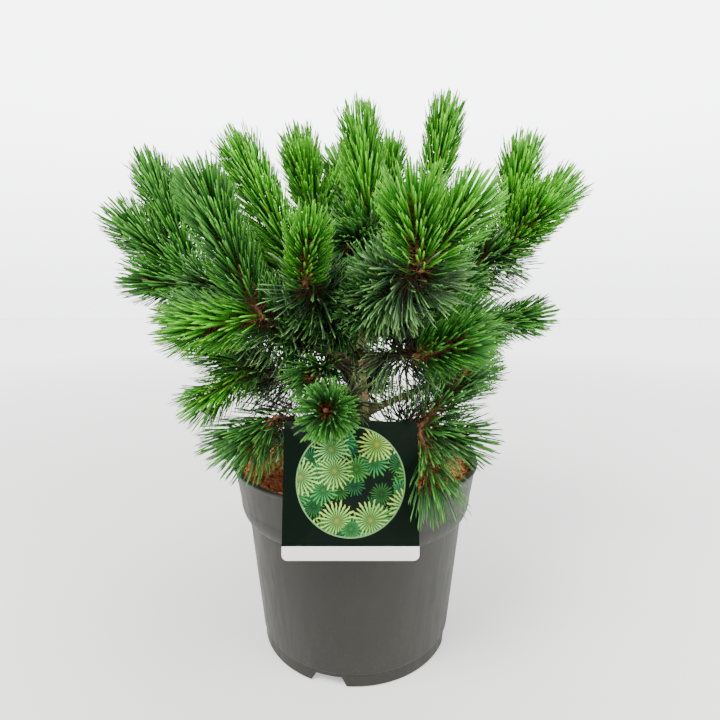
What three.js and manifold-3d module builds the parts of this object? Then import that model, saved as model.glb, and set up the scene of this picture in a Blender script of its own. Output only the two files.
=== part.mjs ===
// A young mugo pine in its nursery container, with a plant label stood at the rim.
//
// Millimetres, +Z up. The origin is the centre of the container's underside, the front is -Y and
// the right is +X. Bearings are compass-like: 0 points to the front, 90 to the right, 180 to the
// back and 270 to the left. A rise is an angle above the horizontal.

import * as THREE from "three";
import { mergeVertices } from "three/addons/utils/BufferGeometryUtils.js";
import Module from "manifold-3d";

const wasm = await Module();
wasm.setup();

// ---------------------------------------------------------------- driving dimensions

const CLEARANCE = 0.3; // between two pieces that touch

const POT = {
  height: 195,
  baseRadius: 101, // outside, where it stands
  waistRadius: 115, // outside, under the collar
  collarRadius: 123, // outside, at the collar's foot
  rimRadius: 128, // outside, at the top
  lip: 2, // the rolled edge stands this far proud
  wall: 2,
  waistHeight: 140, // where the body meets the collar
  shoulder: 19, // height of the collar's rounded foot
  footHeight: 13, // the base ring below the seam
  footStep: 1.5,
  floor: 3,
  sides: 30,
};

const DRAIN = {
  count: 4,
  firstBearing: 345.5,
  height: 9,
  widthAtFloor: 35,
  widthAtTop: 26,
  depth: 24, // inwards from the base ring
  housing: 2, // wall of the raised floor over each channel
};

const SOIL = {
  belowRim: 12, // the mulch's edge under the rim
  dome: 7, // the centre stands this much higher than the edge
  flatRadius: 30, // level ground round the trunk
};

const LABEL = {
  width: 113,
  height: 113,
  thick: 0.9,
  corner: 5,
  lean: 15.4, // degrees back from upright
  bottomHeight: 152, // of the lower edge above the ground
  sideways: -3, // of its middle from the pot's middle
  stakeWidth: 16,
  stakeThick: 1.2,
  stakeBearingY: -119, // the stake goes down just inside the rim
  stakeTop: 236,
  stakeFoot: 162,
};

const TRUNK = {
  footRadius: 17, // at the root flare
  flareHeight: 26,
  radius: 12.5, // above the flare
  tipRadius: 4.5,
  leanFoot: [7, 0],
  leanMiddle: [0, 2],
  tip: [4, 14, 428],
  middleHeight: 315,
  sides: 9,
  rings: 12,
};

const LIMB = {
  rootRadius: 3.2, // of a short bough at the trunk
  radiusPerReach: 0.012, // a longer bough is thicker
  tipShare: 0.7, // its tip, as a share of its root
  sides: 5,
  rings: 3,
  levelShare: 0.3, // how much of its climb a bough has made half way out
};

// Last year's wood, inside the foliage.
const STEM = {
  length: 52,
  radius: 4.2, // at its foot, and less where the bough is thinner
  tipRadius: 3.4,
  bare: 6, // length of its foot without needles
};

// This year's shoot: a slim core, thickest a little past its middle.
const SHOOT = {
  coreRoot: 3.2,
  coreWide: 7.5,
  coreTip: 3.2,
  widestAt: 0.55,
  sunk: 3, // its foot goes this far into the whorl
  bare: 13, // length of its foot without needles
  sag: 0.06, // how far its middle hangs below the straight line, as a share of its length
};

// Needles stand out of a twig in rings of `perRing`, each ring turned half a step from the last.
const YOUNG_NEEDLES = {
  perRing: 5,
  ringStep: 19, // along the shoot
  leastRings: 3,
  length: 40,
  angles: [54, 28], // from the shoot's line, at its foot and below its tip
  tipAngle: 13, // of the last ring, close round the bud
  tipLength: 34,
  webShare: 0.09, // neighbours are joined up to this share of their length
};

const OLD_NEEDLES = {
  perRing: 5,
  ringStep: 23,
  leastRings: 3,
  length: 48,
  angles: [84, 62],
  tipAngle: 50,
  tipLength: 44,
  webShare: 0.08,
};

// A needle that would leave its own space is shortened to one of these shares of its length.
const NEEDLE = {
  halfWidth: 2.4,
  gap: 1,
  samples: 8,
  shares: [1, 0.82, 0.66, 0.5, 0.36, 0.24],
  leastShare: 0.1, // where there is no room at all
  neighbourly: 3, // it may lean this far over towards a twig of its own mass
};

const BUD = 5; // a twig's bud stands this far past its last needles

// The branching habit, one row for each bough: where the limb leaves the trunk, where its whorl of
// this year's shoots stands, and each shoot's [bearing, rise, length]. A row without `leaves` grows
// straight out of the trunk on last year's wood alone.
const HABIT = {
  low_front: { leaves: 252, bearing: 350, reach: 97, height: 266, shoots: [[356, 14, 62]] },
  low_right: {
    leaves: 226, bearing: 34, reach: 106, height: 249,
    shoots: [[70, 54, 62], [98, -16, 42], [6, -40, 56]],
  },
  low_back_right: { leaves: 240, bearing: 118, reach: 112, height: 268, shoots: [[104, 8, 50], [142, 22, 58]] },
  low_back: { leaves: 232, bearing: 176, reach: 118, height: 262, shoots: [[170, -12, 58], [196, 24, 66]] },
  low_back_left: { leaves: 248, bearing: 238, reach: 114, height: 272, shoots: [[226, -6, 56], [250, 20, 50]] },
  low_left: { leaves: 230, bearing: 315, reach: 104, height: 254, shoots: [[284, -24, 42], [322, -34, 38]] },
  mid_left: { leaves: 262, bearing: 298, reach: 112, height: 300, shoots: [[303, -32, 54], [254, 20, 42]] },
  mid_front: { leaves: 0, from: 284, bearing: 338, reach: 62, height: 306, shoots: [[342, -12, 44]] },
  mid_right: { leaves: 304, bearing: 28, reach: 112, height: 316, shoots: [[44, 17, 50], [96, 34, 52]] },
  side_right: { leaves: 290, bearing: 98, reach: 140, height: 337, shoots: [[90, 6, 50]] },
  side_back_right: { leaves: 318, bearing: 134, reach: 140, height: 348, shoots: [[116, 30, 66], [150, 14, 62]] },
  side_back: { leaves: 302, bearing: 186, reach: 138, height: 352, shoots: [[176, 10, 66], [200, 42, 70]] },
  side_back_left: { leaves: 330, bearing: 226, reach: 142, height: 350, shoots: [[214, 8, 62], [244, 26, 64]] },
  left: { leaves: 312, bearing: 270, reach: 162, height: 376, shoots: [[272, 42, 90], [248, 64, 124], [294, 6, 50]] },
  front_left: {
    leaves: 296, bearing: 314, reach: 115, height: 348,
    shoots: [[283, 67, 112], [290, -8, 62], [256, 0, 72]],
  },
  front: { leaves: 318, bearing: 335, reach: 101, height: 375, shoots: [[12, 50, 50]] },
  front_right: { leaves: 334, bearing: 20, reach: 148, height: 388, shoots: [[338, 58, 50], [72, 52, 54]] },
  right: { leaves: 326, bearing: 90, reach: 153, height: 412, shoots: [[92, 80, 86], [90, 46, 76], [24, 36, 60]] },
  back_right: { leaves: 346, bearing: 140, reach: 118, height: 414, shoots: [[128, 46, 78], [158, 62, 76]] },
  back: { leaves: 360, bearing: 182, reach: 96, height: 424, shoots: [[184, 36, 74], [150, 70, 70]] },
  back_left: { leaves: 344, bearing: 252, reach: 148, height: 424, shoots: [[244, 44, 84], [292, 76, 50]] },
  upper_left: { leaves: 356, bearing: 302, reach: 54, height: 378, shoots: [[287, 62, 124]] },
  top_left: { leaves: 376, bearing: 236, reach: 50, height: 440, shoots: [[262, 78, 76], [310, 72, 62], [96, 56, 44]] },
  top_right: { leaves: 384, bearing: 104, reach: 80, height: 458, shoots: [[92, 80, 84]] },
  top_back: { leaves: 400, bearing: 150, reach: 76, height: 466, shoots: [[170, 84, 54], [196, 54, 60]] },
  top_front: { leaves: 380, bearing: 38, reach: 24, height: 432, shoots: [[300, 83, 86], [339, -22, 58]] },
  leader: { leaves: 0, from: 427, bearing: 170, reach: 30, height: 462, shoots: [[190, 80, 52], [214, 48, 62]] },
};

// ---------------------------------------------------------------- small helpers

const radians = THREE.MathUtils.degToRad;
const mix = THREE.MathUtils.lerp;

// A unit vector from a compass bearing and a rise, in degrees.
function heading(bearing, rise) {
  const b = radians(bearing);
  const r = radians(rise);
  return new THREE.Vector3(Math.sin(b) * Math.cos(r), -Math.cos(b) * Math.cos(r), Math.sin(r));
}

// A repeatable number from 0 to 1 for each whole number.
function chance(n) {
  const s = Math.sin(n * 12.9898 + 4.137) * 43758.5453;
  return s - Math.floor(s);
}

// Any closed three.js geometry as a manifold solid.
function solid(geometry) {
  const bare = new THREE.BufferGeometry();
  bare.setAttribute("position", geometry.getAttribute("position"));
  bare.setIndex(geometry.index);
  const merged = mergeVertices(bare, 1e-4);
  const kept = [];
  for (let i = 0; i < merged.index.count; i += 3) {
    const [a, b, c] = [0, 1, 2].map((k) => merged.index.getX(i + k));
    if (a !== b && b !== c && a !== c) kept.push(a, b, c);
  }
  return new wasm.Manifold(
    new wasm.Mesh({
      numProp: 3,
      vertProperties: merged.getAttribute("position").array,
      triVerts: new Uint32Array(kept),
    }),
  );
}

// A manifold solid as a three.js geometry.
function geometryOf(made) {
  const mesh = made.getMesh();
  const geometry = new THREE.BufferGeometry();
  geometry.setAttribute("position", new THREE.BufferAttribute(mesh.vertProperties, 3));
  geometry.setIndex(new THREE.BufferAttribute(mesh.triVerts, 1));
  geometry.computeVertexNormals();
  return geometry;
}

// The solid of a profile of [radius, height] points turned about Z. The points run from the
// bottom of the axis, round the outside, to the top of the axis.
function turned(profile, sides) {
  const points = profile.map(([r, z]) => new THREE.Vector2(r, z));
  return solid(new THREE.LatheGeometry(points, sides).rotateX(Math.PI / 2));
}

// Reads a curve at a share of its length: the place, the way along it, and two ways across it.
function frameOn(curve) {
  const chord = curve.getPointAt(1).sub(curve.getPointAt(0)).normalize();
  const level = Math.abs(chord.z) < 0.999 ? new THREE.Vector3(0, 0, 1) : new THREE.Vector3(0, 1, 0);
  const across = level.cross(chord).normalize();
  return (at) => {
    const along = curve.getTangentAt(at);
    const under = across.clone().cross(along).normalize();
    return { centre: curve.getPointAt(at), along, under, beside: along.clone().cross(under) };
  };
}

// A round limb along a curve, from one share of its length to another. radiusAt takes 0 to 1.
function limb(curve, radiusAt, { sides, rings }, from = 0, to = 1) {
  const frameAt = frameOn(curve);
  const geometry = new THREE.CylinderGeometry(1, 1, 1, sides, rings);
  const position = geometry.getAttribute("position");
  for (let i = 0; i < position.count; i++) {
    // a cylinder stands along its own Y: here Y goes along the curve, and X and Z round it
    const share = position.getY(i) + 0.5;
    const { centre, beside, under } = frameAt(mix(from, to, share));
    centre.addScaledVector(beside, position.getX(i) * radiusAt(share));
    centre.addScaledVector(under, position.getZ(i) * radiusAt(share));
    position.setXYZ(i, centre.x, centre.y, centre.z);
  }
  return solid(geometry);
}

// ---------------------------------------------------------------- container

const RIM_INSIDE = POT.rimRadius - POT.wall;
const SOIL_EDGE = POT.height - SOIL.belowRim;
const GROUND = SOIL_EDGE + SOIL.dome; // the mulch's height round the trunk

// The wall's outer radius at the heights where it changes, from the seam up.
function potOutside() {
  const { shoulder, waistHeight } = POT;
  const bend = (share) => {
    const turn = (share * Math.PI) / 2;
    return [
      mix(POT.waistRadius, POT.collarRadius, Math.sin(turn)),
      waistHeight + shoulder * (1 - Math.cos(turn)),
    ];
  };
  return [
    [POT.baseRadius + POT.footStep, POT.footHeight + 1],
    [POT.waistRadius, waistHeight],
    ...[0.5, 1].map(bend),
    [POT.rimRadius, POT.height - 4],
    [POT.rimRadius + POT.lip, POT.height - 3],
  ];
}

// A channel under the floor, through the base ring, `grow` larger all round.
function drainChannel(index, grow) {
  const half = DRAIN.widthAtFloor / 2 + grow;
  const halfTop = DRAIN.widthAtTop / 2 + grow;
  const top = DRAIN.height + grow;
  const outline = new THREE.Shape([
    new THREE.Vector2(-half, -1),
    new THREE.Vector2(half, -1),
    new THREE.Vector2(half - 1, 1),
    new THREE.Vector2(halfTop, top),
    new THREE.Vector2(-halfTop, top),
    new THREE.Vector2(-half + 1, 1),
  ]);
  const length = DRAIN.depth + grow + 10;
  const geometry = new THREE.ExtrudeGeometry(outline, { depth: length, bevelEnabled: false });
  geometry.rotateX(Math.PI / 2); // now it runs along -Y with its height along Z
  geometry.translate(0, -(POT.baseRadius - DRAIN.depth - grow), 0);
  geometry.rotateZ(radians(DRAIN.firstBearing + (index * 360) / DRAIN.count));
  return solid(geometry);
}

const drains = (grow) =>
  wasm.Manifold.union(Array.from({ length: DRAIN.count }, (_, i) => drainChannel(i, grow)));

function container() {
  const outside = potOutside();
  const shell = turned([[0, 0], [POT.baseRadius, 0], [POT.baseRadius, POT.footHeight], ...outside,
    [POT.rimRadius + POT.lip, POT.height], [0, POT.height]], POT.sides);
  const inside = turned([[0, POT.floor], ...insideProfile(0), [RIM_INSIDE, POT.height],
    [RIM_INSIDE, POT.height + 5], [0, POT.height + 5]], POT.sides);
  const housings = drains(DRAIN.housing).intersect(
    turned([[0, 0], [POT.baseRadius - 0.5, 0], [POT.baseRadius - 0.5, POT.footHeight], [0, POT.footHeight]],
      POT.sides),
  );
  return shell.subtract(inside).add(housings).subtract(drains(0));
}

// The inside of the wall at one height, over the collar's foot.
function collarInside(height) {
  const foot = POT.waistHeight + POT.shoulder;
  return mix(POT.collarRadius - POT.wall, RIM_INSIDE, (height - foot) / (POT.height - foot));
}

// The inside of the wall, drawn in by `gap`, from the floor to the collar's foot.
function insideProfile(gap) {
  const inset = POT.wall + gap;
  return [
    [POT.baseRadius - inset, POT.floor + gap],
    ...potOutside().slice(0, 4).map(([r, z]) => [r - inset, z]),
  ];
}

// ---------------------------------------------------------------- soil and label

function rootBall() {
  const gap = CLEARANCE;
  const ball = turned(
    [
      [0, POT.floor + gap],
      ...insideProfile(gap),
      [collarInside(SOIL_EDGE) - gap, SOIL_EDGE],
      [SOIL.flatRadius + 40, SOIL_EDGE + SOIL.dome * 0.75],
      [SOIL.flatRadius, GROUND],
      [0, GROUND],
    ],
    POT.sides,
  );
  return ball.subtract(drains(DRAIN.housing + gap)).subtract(stakeBlade(gap));
}

// The stake's blade, `grow` larger all round, pointed at its foot.
function stakeBlade(grow) {
  const half = LABEL.stakeWidth / 2 + grow;
  const { stakeFoot, stakeTop } = LABEL;
  const outline = new THREE.Shape([
    new THREE.Vector2(-half, stakeTop),
    new THREE.Vector2(-half, stakeFoot + 10),
    new THREE.Vector2(0, stakeFoot - grow),
    new THREE.Vector2(half, stakeFoot + 10),
    new THREE.Vector2(half, stakeTop),
  ]);
  const depth = LABEL.stakeThick + 2 * grow;
  const geometry = new THREE.ExtrudeGeometry(outline, { depth, bevelEnabled: false });
  geometry.rotateX(Math.PI / 2).translate(LABEL.sideways, LABEL.stakeBearingY + depth / 2, 0);
  return solid(geometry);
}

// The card leans back on the rim: its lower edge hangs in front of the collar and its back
// passes the lip with a clearance.
const LIP = POT.rimRadius + POT.lip;
const cardBack = (z) =>
  -LIP - CLEARANCE - 0.2 + (z - POT.height + 1.5) * Math.tan(radians(LABEL.lean));

function labelCard() {
  const { width, height, corner, thick } = LABEL;
  const card = new THREE.Shape();
  card.moveTo(-width / 2 + corner, 0);
  card.lineTo(width / 2 - corner, 0);
  card.absarc(width / 2 - corner, corner, corner, -Math.PI / 2, 0);
  card.lineTo(width / 2, height - corner);
  card.absarc(width / 2 - corner, height - corner, corner, 0, Math.PI / 2);
  card.lineTo(-width / 2 + corner, height);
  card.absarc(-width / 2 + corner, height - corner, corner, Math.PI / 2, Math.PI);
  card.lineTo(-width / 2, corner);
  card.absarc(-width / 2 + corner, corner, corner, Math.PI, Math.PI * 1.5);
  const geometry = new THREE.ExtrudeGeometry(card, { depth: thick, bevelEnabled: false, curveSegments: 3 });
  geometry.rotateX(Math.PI / 2 - radians(LABEL.lean));
  geometry.translate(LABEL.sideways, cardBack(LABEL.bottomHeight), LABEL.bottomHeight);
  return solid(geometry);
}

// Where the upright stake meets the leaning card, their materials run into each other.
const plantLabel = () => labelCard().add(stakeBlade(0));

// ---------------------------------------------------------------- trunk and boughs

const trunkLine = new THREE.CatmullRomCurve3([
  new THREE.Vector3(...TRUNK.leanFoot, GROUND + CLEARANCE),
  new THREE.Vector3(TRUNK.leanFoot[0] * 0.8, 0, mix(GROUND, TRUNK.middleHeight, 0.4)),
  new THREE.Vector3(...TRUNK.leanMiddle, TRUNK.middleHeight),
  new THREE.Vector3(...TRUNK.tip),
]);
const TRUNK_LENGTH = trunkLine.getLength();

function trunkRadius(share) {
  const flare = Math.max(0, 1 - (share * TRUNK_LENGTH) / TRUNK.flareHeight);
  const shaft = mix(TRUNK.radius, TRUNK.tipRadius, share);
  return shaft + (TRUNK.footRadius - TRUNK.radius) * flare ** 2;
}

// The trunk, or with `grow` the space round it that a bough is cut back from. A level foot keeps
// the cut at the ground flat.
function trunkSolid(grow) {
  const rings = Array.from({ length: TRUNK.rings + 1 }, (_, i) => (i / TRUNK.rings) ** 1.25);
  const geometry = new THREE.CylinderGeometry(1, 1, 1, TRUNK.sides, TRUNK.rings);
  const position = geometry.getAttribute("position");
  for (let i = 0; i < position.count; i++) {
    const ring = Math.round((position.getY(i) + 0.5) * TRUNK.rings);
    const centre = trunkLine.getPointAt(rings[ring]);
    const radius = trunkRadius(rings[ring]) + grow;
    // a cylinder stands along Y, so its own -Z becomes the model's Y
    position.setXYZ(i, centre.x + position.getX(i) * radius, centre.y - position.getZ(i) * radius,
      centre.z + (ring === TRUNK.rings ? grow : 0));
  }
  return solid(geometry);
}

// The trunk's share of its length at a height.
function trunkShareAt(height) {
  let low = 0;
  let high = 1;
  for (let step = 0; step < 30; step++) {
    const middle = (low + high) / 2;
    if (trunkLine.getPointAt(middle).z < height) low = middle;
    else high = middle;
  }
  return (low + high) / 2;
}

// One limb's whole line, from the trunk's pith to its whorl: level at first, then climbing.
function limbLine(row) {
  const root = trunkLine.getPointAt(trunkShareAt(row.leaves || row.from));
  const whorl = heading(row.bearing, 0).multiplyScalar(row.reach).setZ(row.height);
  const bend = root.clone().lerp(whorl, 0.5).setZ(mix(root.z, whorl.z, LIMB.levelShare));
  return new THREE.QuadraticBezierCurve3(root, bend, whorl);
}

// A shoot's line: nearly straight, hanging a little in the middle, its foot sunk in the whorl.
function shootLine(whorl, [bearing, rise, length]) {
  const way = heading(bearing, rise);
  const foot = whorl.clone().addScaledVector(way, -SHOOT.sunk);
  const tip = whorl.clone().addScaledVector(way, length);
  const middle = foot.clone().lerp(tip, 0.5);
  middle.z -= SHOOT.sag * length;
  return new THREE.QuadraticBezierCurve3(foot, middle, tip);
}

const limbs = Object.entries(HABIT).map(([name, row], index) => {
  const line = limbLine(row);
  const length = line.getLength();
  const rootRadius = LIMB.rootRadius + LIMB.radiusPerReach * row.reach;
  const rooted = row.leaves > 0;
  const trunkSide = trunkRadius(trunkShareAt(row.leaves || row.from));
  // The bough ends and the stem begins where last year's wood starts.
  const joint = rooted ? Math.max(1 - STEM.length / length, 0.3) : 0;
  return { name, row, index, line, length, rootRadius, rooted, joint, trunkSide };
});

const boughRadius = (one, share) =>
  one.rootRadius * mix(1, LIMB.tipShare, share / Math.max(one.joint, 0.01));

function boughSolid(one) {
  const radiusAt = (along) => boughRadius(one, along * one.joint);
  return limb(one.line, radiusAt, LIMB, 0, one.joint).subtract(trunkSpace);
}

// ---------------------------------------------------------------- foliage

// Every twig as straight runs, to test a needle's place against.
function runsAlong(curve, from, tags) {
  const points = [0, 1, 2, 3].map((i) => curve.getPointAt(mix(from, 1, i / 3)));
  return [0, 1, 2].map((i) => ({ ...tags, line: new THREE.Line3(points[i], points[i + 1]) }));
}

const twigRuns = limbs.flatMap((one) => [
  ...runsAlong(one.line, one.joint, { mass: one.name, twig: `${one.name} stem` }),
  ...one.row.shoots.flatMap((shoot, number) =>
    runsAlong(shootLine(one.line.getPointAt(1), shoot), 0, { mass: one.name, twig: `${one.name} ${number}` })),
]);

// The bare wood that no needle may touch.
const woodRuns = [
  ...limbs.filter((one) => one.rooted).flatMap((one) =>
    [0, 1, 2, 3].map((i) => ({
      line: new THREE.Line3(one.line.getPointAt((one.joint * i) / 4), one.line.getPointAt((one.joint * (i + 1)) / 4)),
      radius: one.rootRadius,
    })),
  ),
  ...Array.from({ length: 8 }, (_, i) => ({
    line: new THREE.Line3(trunkLine.getPointAt(i / 8), trunkLine.getPointAt((i + 1) / 8)),
    radius: trunkRadius(i / 8),
  })),
];

const nearest = new THREE.Vector3();
const distanceTo = (run, point) => run.line.closestPointToPoint(point, true, nearest).distanceTo(point);

// Whether a point is clear of the container, the mulch and the label.
function clearOfPot(point) {
  const radius = Math.hypot(point.x, point.y);
  const room = NEEDLE.halfWidth + NEEDLE.gap;
  if (point.z < POT.height + room && radius < LIP + room && radius > RIM_INSIDE - 4) return false;
  if (point.z < GROUND + room && radius < LIP) return false;
  const overCard = Math.abs(point.x - LABEL.sideways) < LABEL.width / 2 + room;
  const cardTop = LABEL.bottomHeight + LABEL.height * Math.cos(radians(LABEL.lean));
  const offCard = point.y - cardBack(point.z);
  return !(overCard && point.z < cardTop + room && Math.abs(offCard) < room + 2.5);
}

// Whether a needle's point is clear of bare wood, nearer to its own mass than to any other, and
// not far over a neighbouring twig of its own mass.
function inOwnSpace(owner, point) {
  if (!clearOfPot(point)) return false;
  const room = NEEDLE.halfWidth + NEEDLE.gap;
  if (woodRuns.some((run) => distanceTo(run, point) < run.radius + room)) return false;
  let own = Infinity;
  let sister = Infinity;
  let other = Infinity;
  for (const run of twigRuns) {
    const away = distanceTo(run, point);
    if (run.twig === owner.twig) own = Math.min(own, away);
    else if (run.mass === owner.mass) sister = Math.min(sister, away);
    else other = Math.min(other, away);
  }
  return own < sister + NEEDLE.neighbourly && Math.min(own, sister) + 2 * room < other;
}

// The longest share of a needle that keeps to its own space.
function roomFor(owner, foot, reach) {
  const point = new THREE.Vector3();
  const fits = (share) => {
    for (let i = 2; i <= NEEDLE.samples; i++) {
      point.copy(foot).addScaledVector(reach, (share * i) / NEEDLE.samples);
      if (!inOwnSpace(owner, point)) return false;
    }
    return true;
  };
  return NEEDLE.shares.find(fits) ?? NEEDLE.leastShare;
}

// A twig's core with its rings of needles, from one share of a curve to its end. It is a turned
// body: a butt, then in turn a waist on the core and a collar that is drawn out into needles.
function spray(owner, curve, { from, bare, radiusAt, needles, seed }) {
  const { perRing, ringStep, leastRings, angles, webShare } = needles;
  const curveLength = curve.getLength();
  const first = from + bare / curveLength;
  const rings = Math.max(leastRings, Math.round((curveLength * (1 - first)) / ringStep) + 1);
  const columns = 2 * perRing;
  const frameAt = frameOn(curve);
  const start = 360 * chance(seed);
  const isNeedle = (ring, column) => (column + ring) % 2 === 0;

  // A place on the core, and the way out from it, in one column.
  const onCore = (at, share, column) => {
    const { centre, along, beside, under } = frameAt(at);
    const turn = radians(start + (360 * column) / columns);
    const out = beside.multiplyScalar(Math.sin(turn)).addScaledVector(under, Math.cos(turn));
    return { place: centre.addScaledVector(out, radiusAt(share)), out, along };
  };

  // A needle's foot and its reach.
  const needleAt = (ring, column) => {
    const share = ring / (rings - 1);
    const { place, out, along } = onCore(mix(first, 0.98, share), share, column);
    const jitter = 7 * (chance(seed + 31 * ring + 7 * column) - 0.5);
    const last = ring === rings - 1;
    const lean = radians((last ? needles.tipAngle : mix(...angles, share)) + jitter);
    const length = (last ? needles.tipLength : needles.length) * (0.9 + 0.2 * chance(seed + 17 * ring + 5 * column));
    const reach = along.clone().multiplyScalar(length * Math.cos(lean)).addScaledVector(out, length * Math.sin(lean));
    return { foot: place, reach };
  };

  // The turned body's places, level by level, each level a list of its columns.
  const around = Array.from({ length: columns }, (_, column) => column);
  const butt = frameAt(from).centre;
  const bud = frameAt(1);
  const levels = [around.map(() => butt), around.map((c) => onCore(from, 0, c - (c % 2)).place)];
  for (let ring = 0; ring < rings; ring++) {
    const drawn = around.map((column) => needleAt(ring, column));
    const rooms = drawn.map(({ foot, reach }, c) => (isNeedle(ring, c) ? roomFor(owner, foot, reach) : 0));
    const web = (c) => webShare * Math.min(rooms[(c + columns - 1) % columns], rooms[(c + 1) % columns]);
    // a waist has half as many places, each under a needle
    levels.push(around.map((c) => drawn[isNeedle(ring, c) ? c : (c + columns - 1) % columns].foot));
    levels.push(drawn.map(({ foot, reach }, c) =>
      foot.clone().addScaledVector(reach, isNeedle(ring, c) ? rooms[c] : web(c))));
  }
  levels.push(around.map(() => bud.centre.clone().addScaledVector(bud.along, BUD)));

  const template = levels.map((_, i) => new THREE.Vector2(i === 0 || i === levels.length - 1 ? 0 : 1, i));
  const geometry = new THREE.LatheGeometry(template, columns);
  const position = geometry.getAttribute("position");
  for (let i = 0; i < position.count; i++) {
    const place = levels[i % levels.length][Math.floor(i / levels.length) % columns];
    position.setXYZ(i, place.x, place.y, place.z);
  }
  return solid(geometry);
}

// The slim core of a shoot.
function coreRadius(share) {
  const { coreRoot, coreWide, coreTip, widestAt } = SHOOT;
  return share < widestAt
    ? mix(coreRoot, coreWide, Math.sin(((share / widestAt) * Math.PI) / 2))
    : mix(coreWide, coreTip, (share - widestAt) / (1 - widestAt));
}

// A mass of foliage: last year's stem with its wide old needles, and this year's shoots. Fusing
// can seal a hollow or leave a scrap loose, so only the outer body is kept.
function foliage(one) {
  const mass = one.name;
  const start = one.joint + CLEARANCE / one.length;
  const footRadius = one.rooted ? Math.min(STEM.radius, boughRadius(one, one.joint)) : STEM.radius;
  const stem = spray({ mass, twig: `${mass} stem` }, one.line, {
    from: start, bare: STEM.bare, radiusAt: (share) => mix(footRadius, STEM.tipRadius, share),
    needles: OLD_NEEDLES, seed: 1000 + one.index,
  });
  const whorl = one.line.getPointAt(1);
  const shoots = one.row.shoots.map((shoot, number) =>
    spray({ mass, twig: `${mass} ${number}` }, shootLine(whorl, shoot), {
      from: 0, bare: SHOOT.bare, radiusAt: coreRadius, needles: YOUNG_NEEDLES,
      seed: 100 * one.index + 10 * number + 7,
    }));
  const fused = wasm.Manifold.union([stem, ...shoots]);
  const clear = one.rooted ? fused : fused.subtract(trunkSpace);
  return clear.decompose().reduce((a, b) => (b.volume() > a.volume() ? b : a));
}

// ---------------------------------------------------------------- the whole plant

const FINISH = {
  container: { color: 0x5d5f59, roughness: 0.45, metalness: 0 },
  mulch: { color: 0x8a4a2c, roughness: 0.95, metalness: 0 },
  label: { color: 0x1d5a3a, roughness: 0.35, metalness: 0 },
  bark: { color: 0x6b5137, roughness: 0.9, metalness: 0 },
  needles: { color: 0x3f8f2b, roughness: 0.55, metalness: 0 },
};

const plant = new THREE.Group();

function addNode(name, made, finish) {
  const mesh = new THREE.Mesh(geometryOf(made), new THREE.MeshStandardMaterial(FINISH[finish]));
  mesh.name = name;
  plant.add(mesh);
}

const trunkSpace = trunkSolid(CLEARANCE);
addNode("pot", container(), "container");
addNode("root_ball", rootBall(), "mulch");
addNode("plant_label", plantLabel(), "label");
addNode("trunk", trunkSolid(0), "bark");
for (const one of limbs) {
  if (one.rooted) addNode(`bough_${one.name}`, boughSolid(one), "bark");
  addNode(`foliage_${one.name}`, foliage(one), "needles");
}

export default plant;
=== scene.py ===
# %% [markdown]
# # A potted dwarf mountain pine
#
# This script grows a young mountain pine in its nursery pot, needle by needle. Three things carry
# the likeness: the habit (which limb goes where), the brushes of needles round each shoot, and the
# plain things round them: a scuffed pot, bark mulch and a plant label. Everything is worked out in
# millimetres with whole numpy arrays, and turned into metres when it becomes a Blender object.

import bpy
import numpy as np
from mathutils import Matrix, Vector


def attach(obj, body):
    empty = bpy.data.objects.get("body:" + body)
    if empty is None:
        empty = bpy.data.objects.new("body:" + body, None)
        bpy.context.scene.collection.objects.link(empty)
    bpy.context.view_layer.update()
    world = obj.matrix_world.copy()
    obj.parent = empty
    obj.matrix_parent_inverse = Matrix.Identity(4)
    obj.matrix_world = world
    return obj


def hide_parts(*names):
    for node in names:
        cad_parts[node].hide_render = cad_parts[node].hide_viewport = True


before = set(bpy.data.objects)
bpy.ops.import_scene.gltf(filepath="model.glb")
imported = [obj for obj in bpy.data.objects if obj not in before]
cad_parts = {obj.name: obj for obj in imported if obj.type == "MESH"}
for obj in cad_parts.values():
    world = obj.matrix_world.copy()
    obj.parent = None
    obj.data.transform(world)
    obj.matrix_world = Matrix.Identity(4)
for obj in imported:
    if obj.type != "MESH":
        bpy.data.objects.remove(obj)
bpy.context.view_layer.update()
nodes = sorted(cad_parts)

# %% [markdown]
# ## The camera
#
# The camera comes first, because every later look is judged through it. It stands half a metre in
# front, a little above the middle of the crown, and looks down by under eight degrees with a wide
# lens, so the near side of the pot's rim bulges and the far needles shrink.

# %% Camera
camera = bpy.data.objects.new("Camera", bpy.data.cameras.new("Camera"))
bpy.context.collection.objects.link(camera)
camera.location = (0.0048, -0.512, 0.371)
camera.rotation_euler = (np.radians(90 - 7.7), 0, 0)
camera.data.sensor_width = 36
camera.data.lens = 24.2
camera.data.shift_y = -0.0056
camera.data.clip_start = 0.01
bpy.context.scene.camera = camera
print("camera at", np.round(camera.location, 3).tolist(), " lens:", round(camera.data.lens, 1))

# %% [markdown]
# ## Four soft lights
#
# Bare lamps would give every needle a hard shadow, so each light is a wide panel. A strong one
# above the front left lights the tops of the brushes, and a weaker one fills from the right. A low
# one in front reaches under the crown to the trunk, and one above keeps the back of the crown from
# going dark.

# %% Lights

def soft_panel(name, place, aim, width, power, tint):
    """A square area light of one width (m) at one place, turned towards the point it lights."""
    lamp = bpy.data.lights.new(name, "AREA")
    lamp.size, lamp.energy, lamp.color = width, power, tint
    panel = bpy.data.objects.new(name, lamp)
    panel.location = place
    panel.rotation_euler = (Vector(aim) - Vector(place)).to_track_quat("-Z", "Y").to_euler()
    bpy.context.collection.objects.link(panel)


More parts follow.
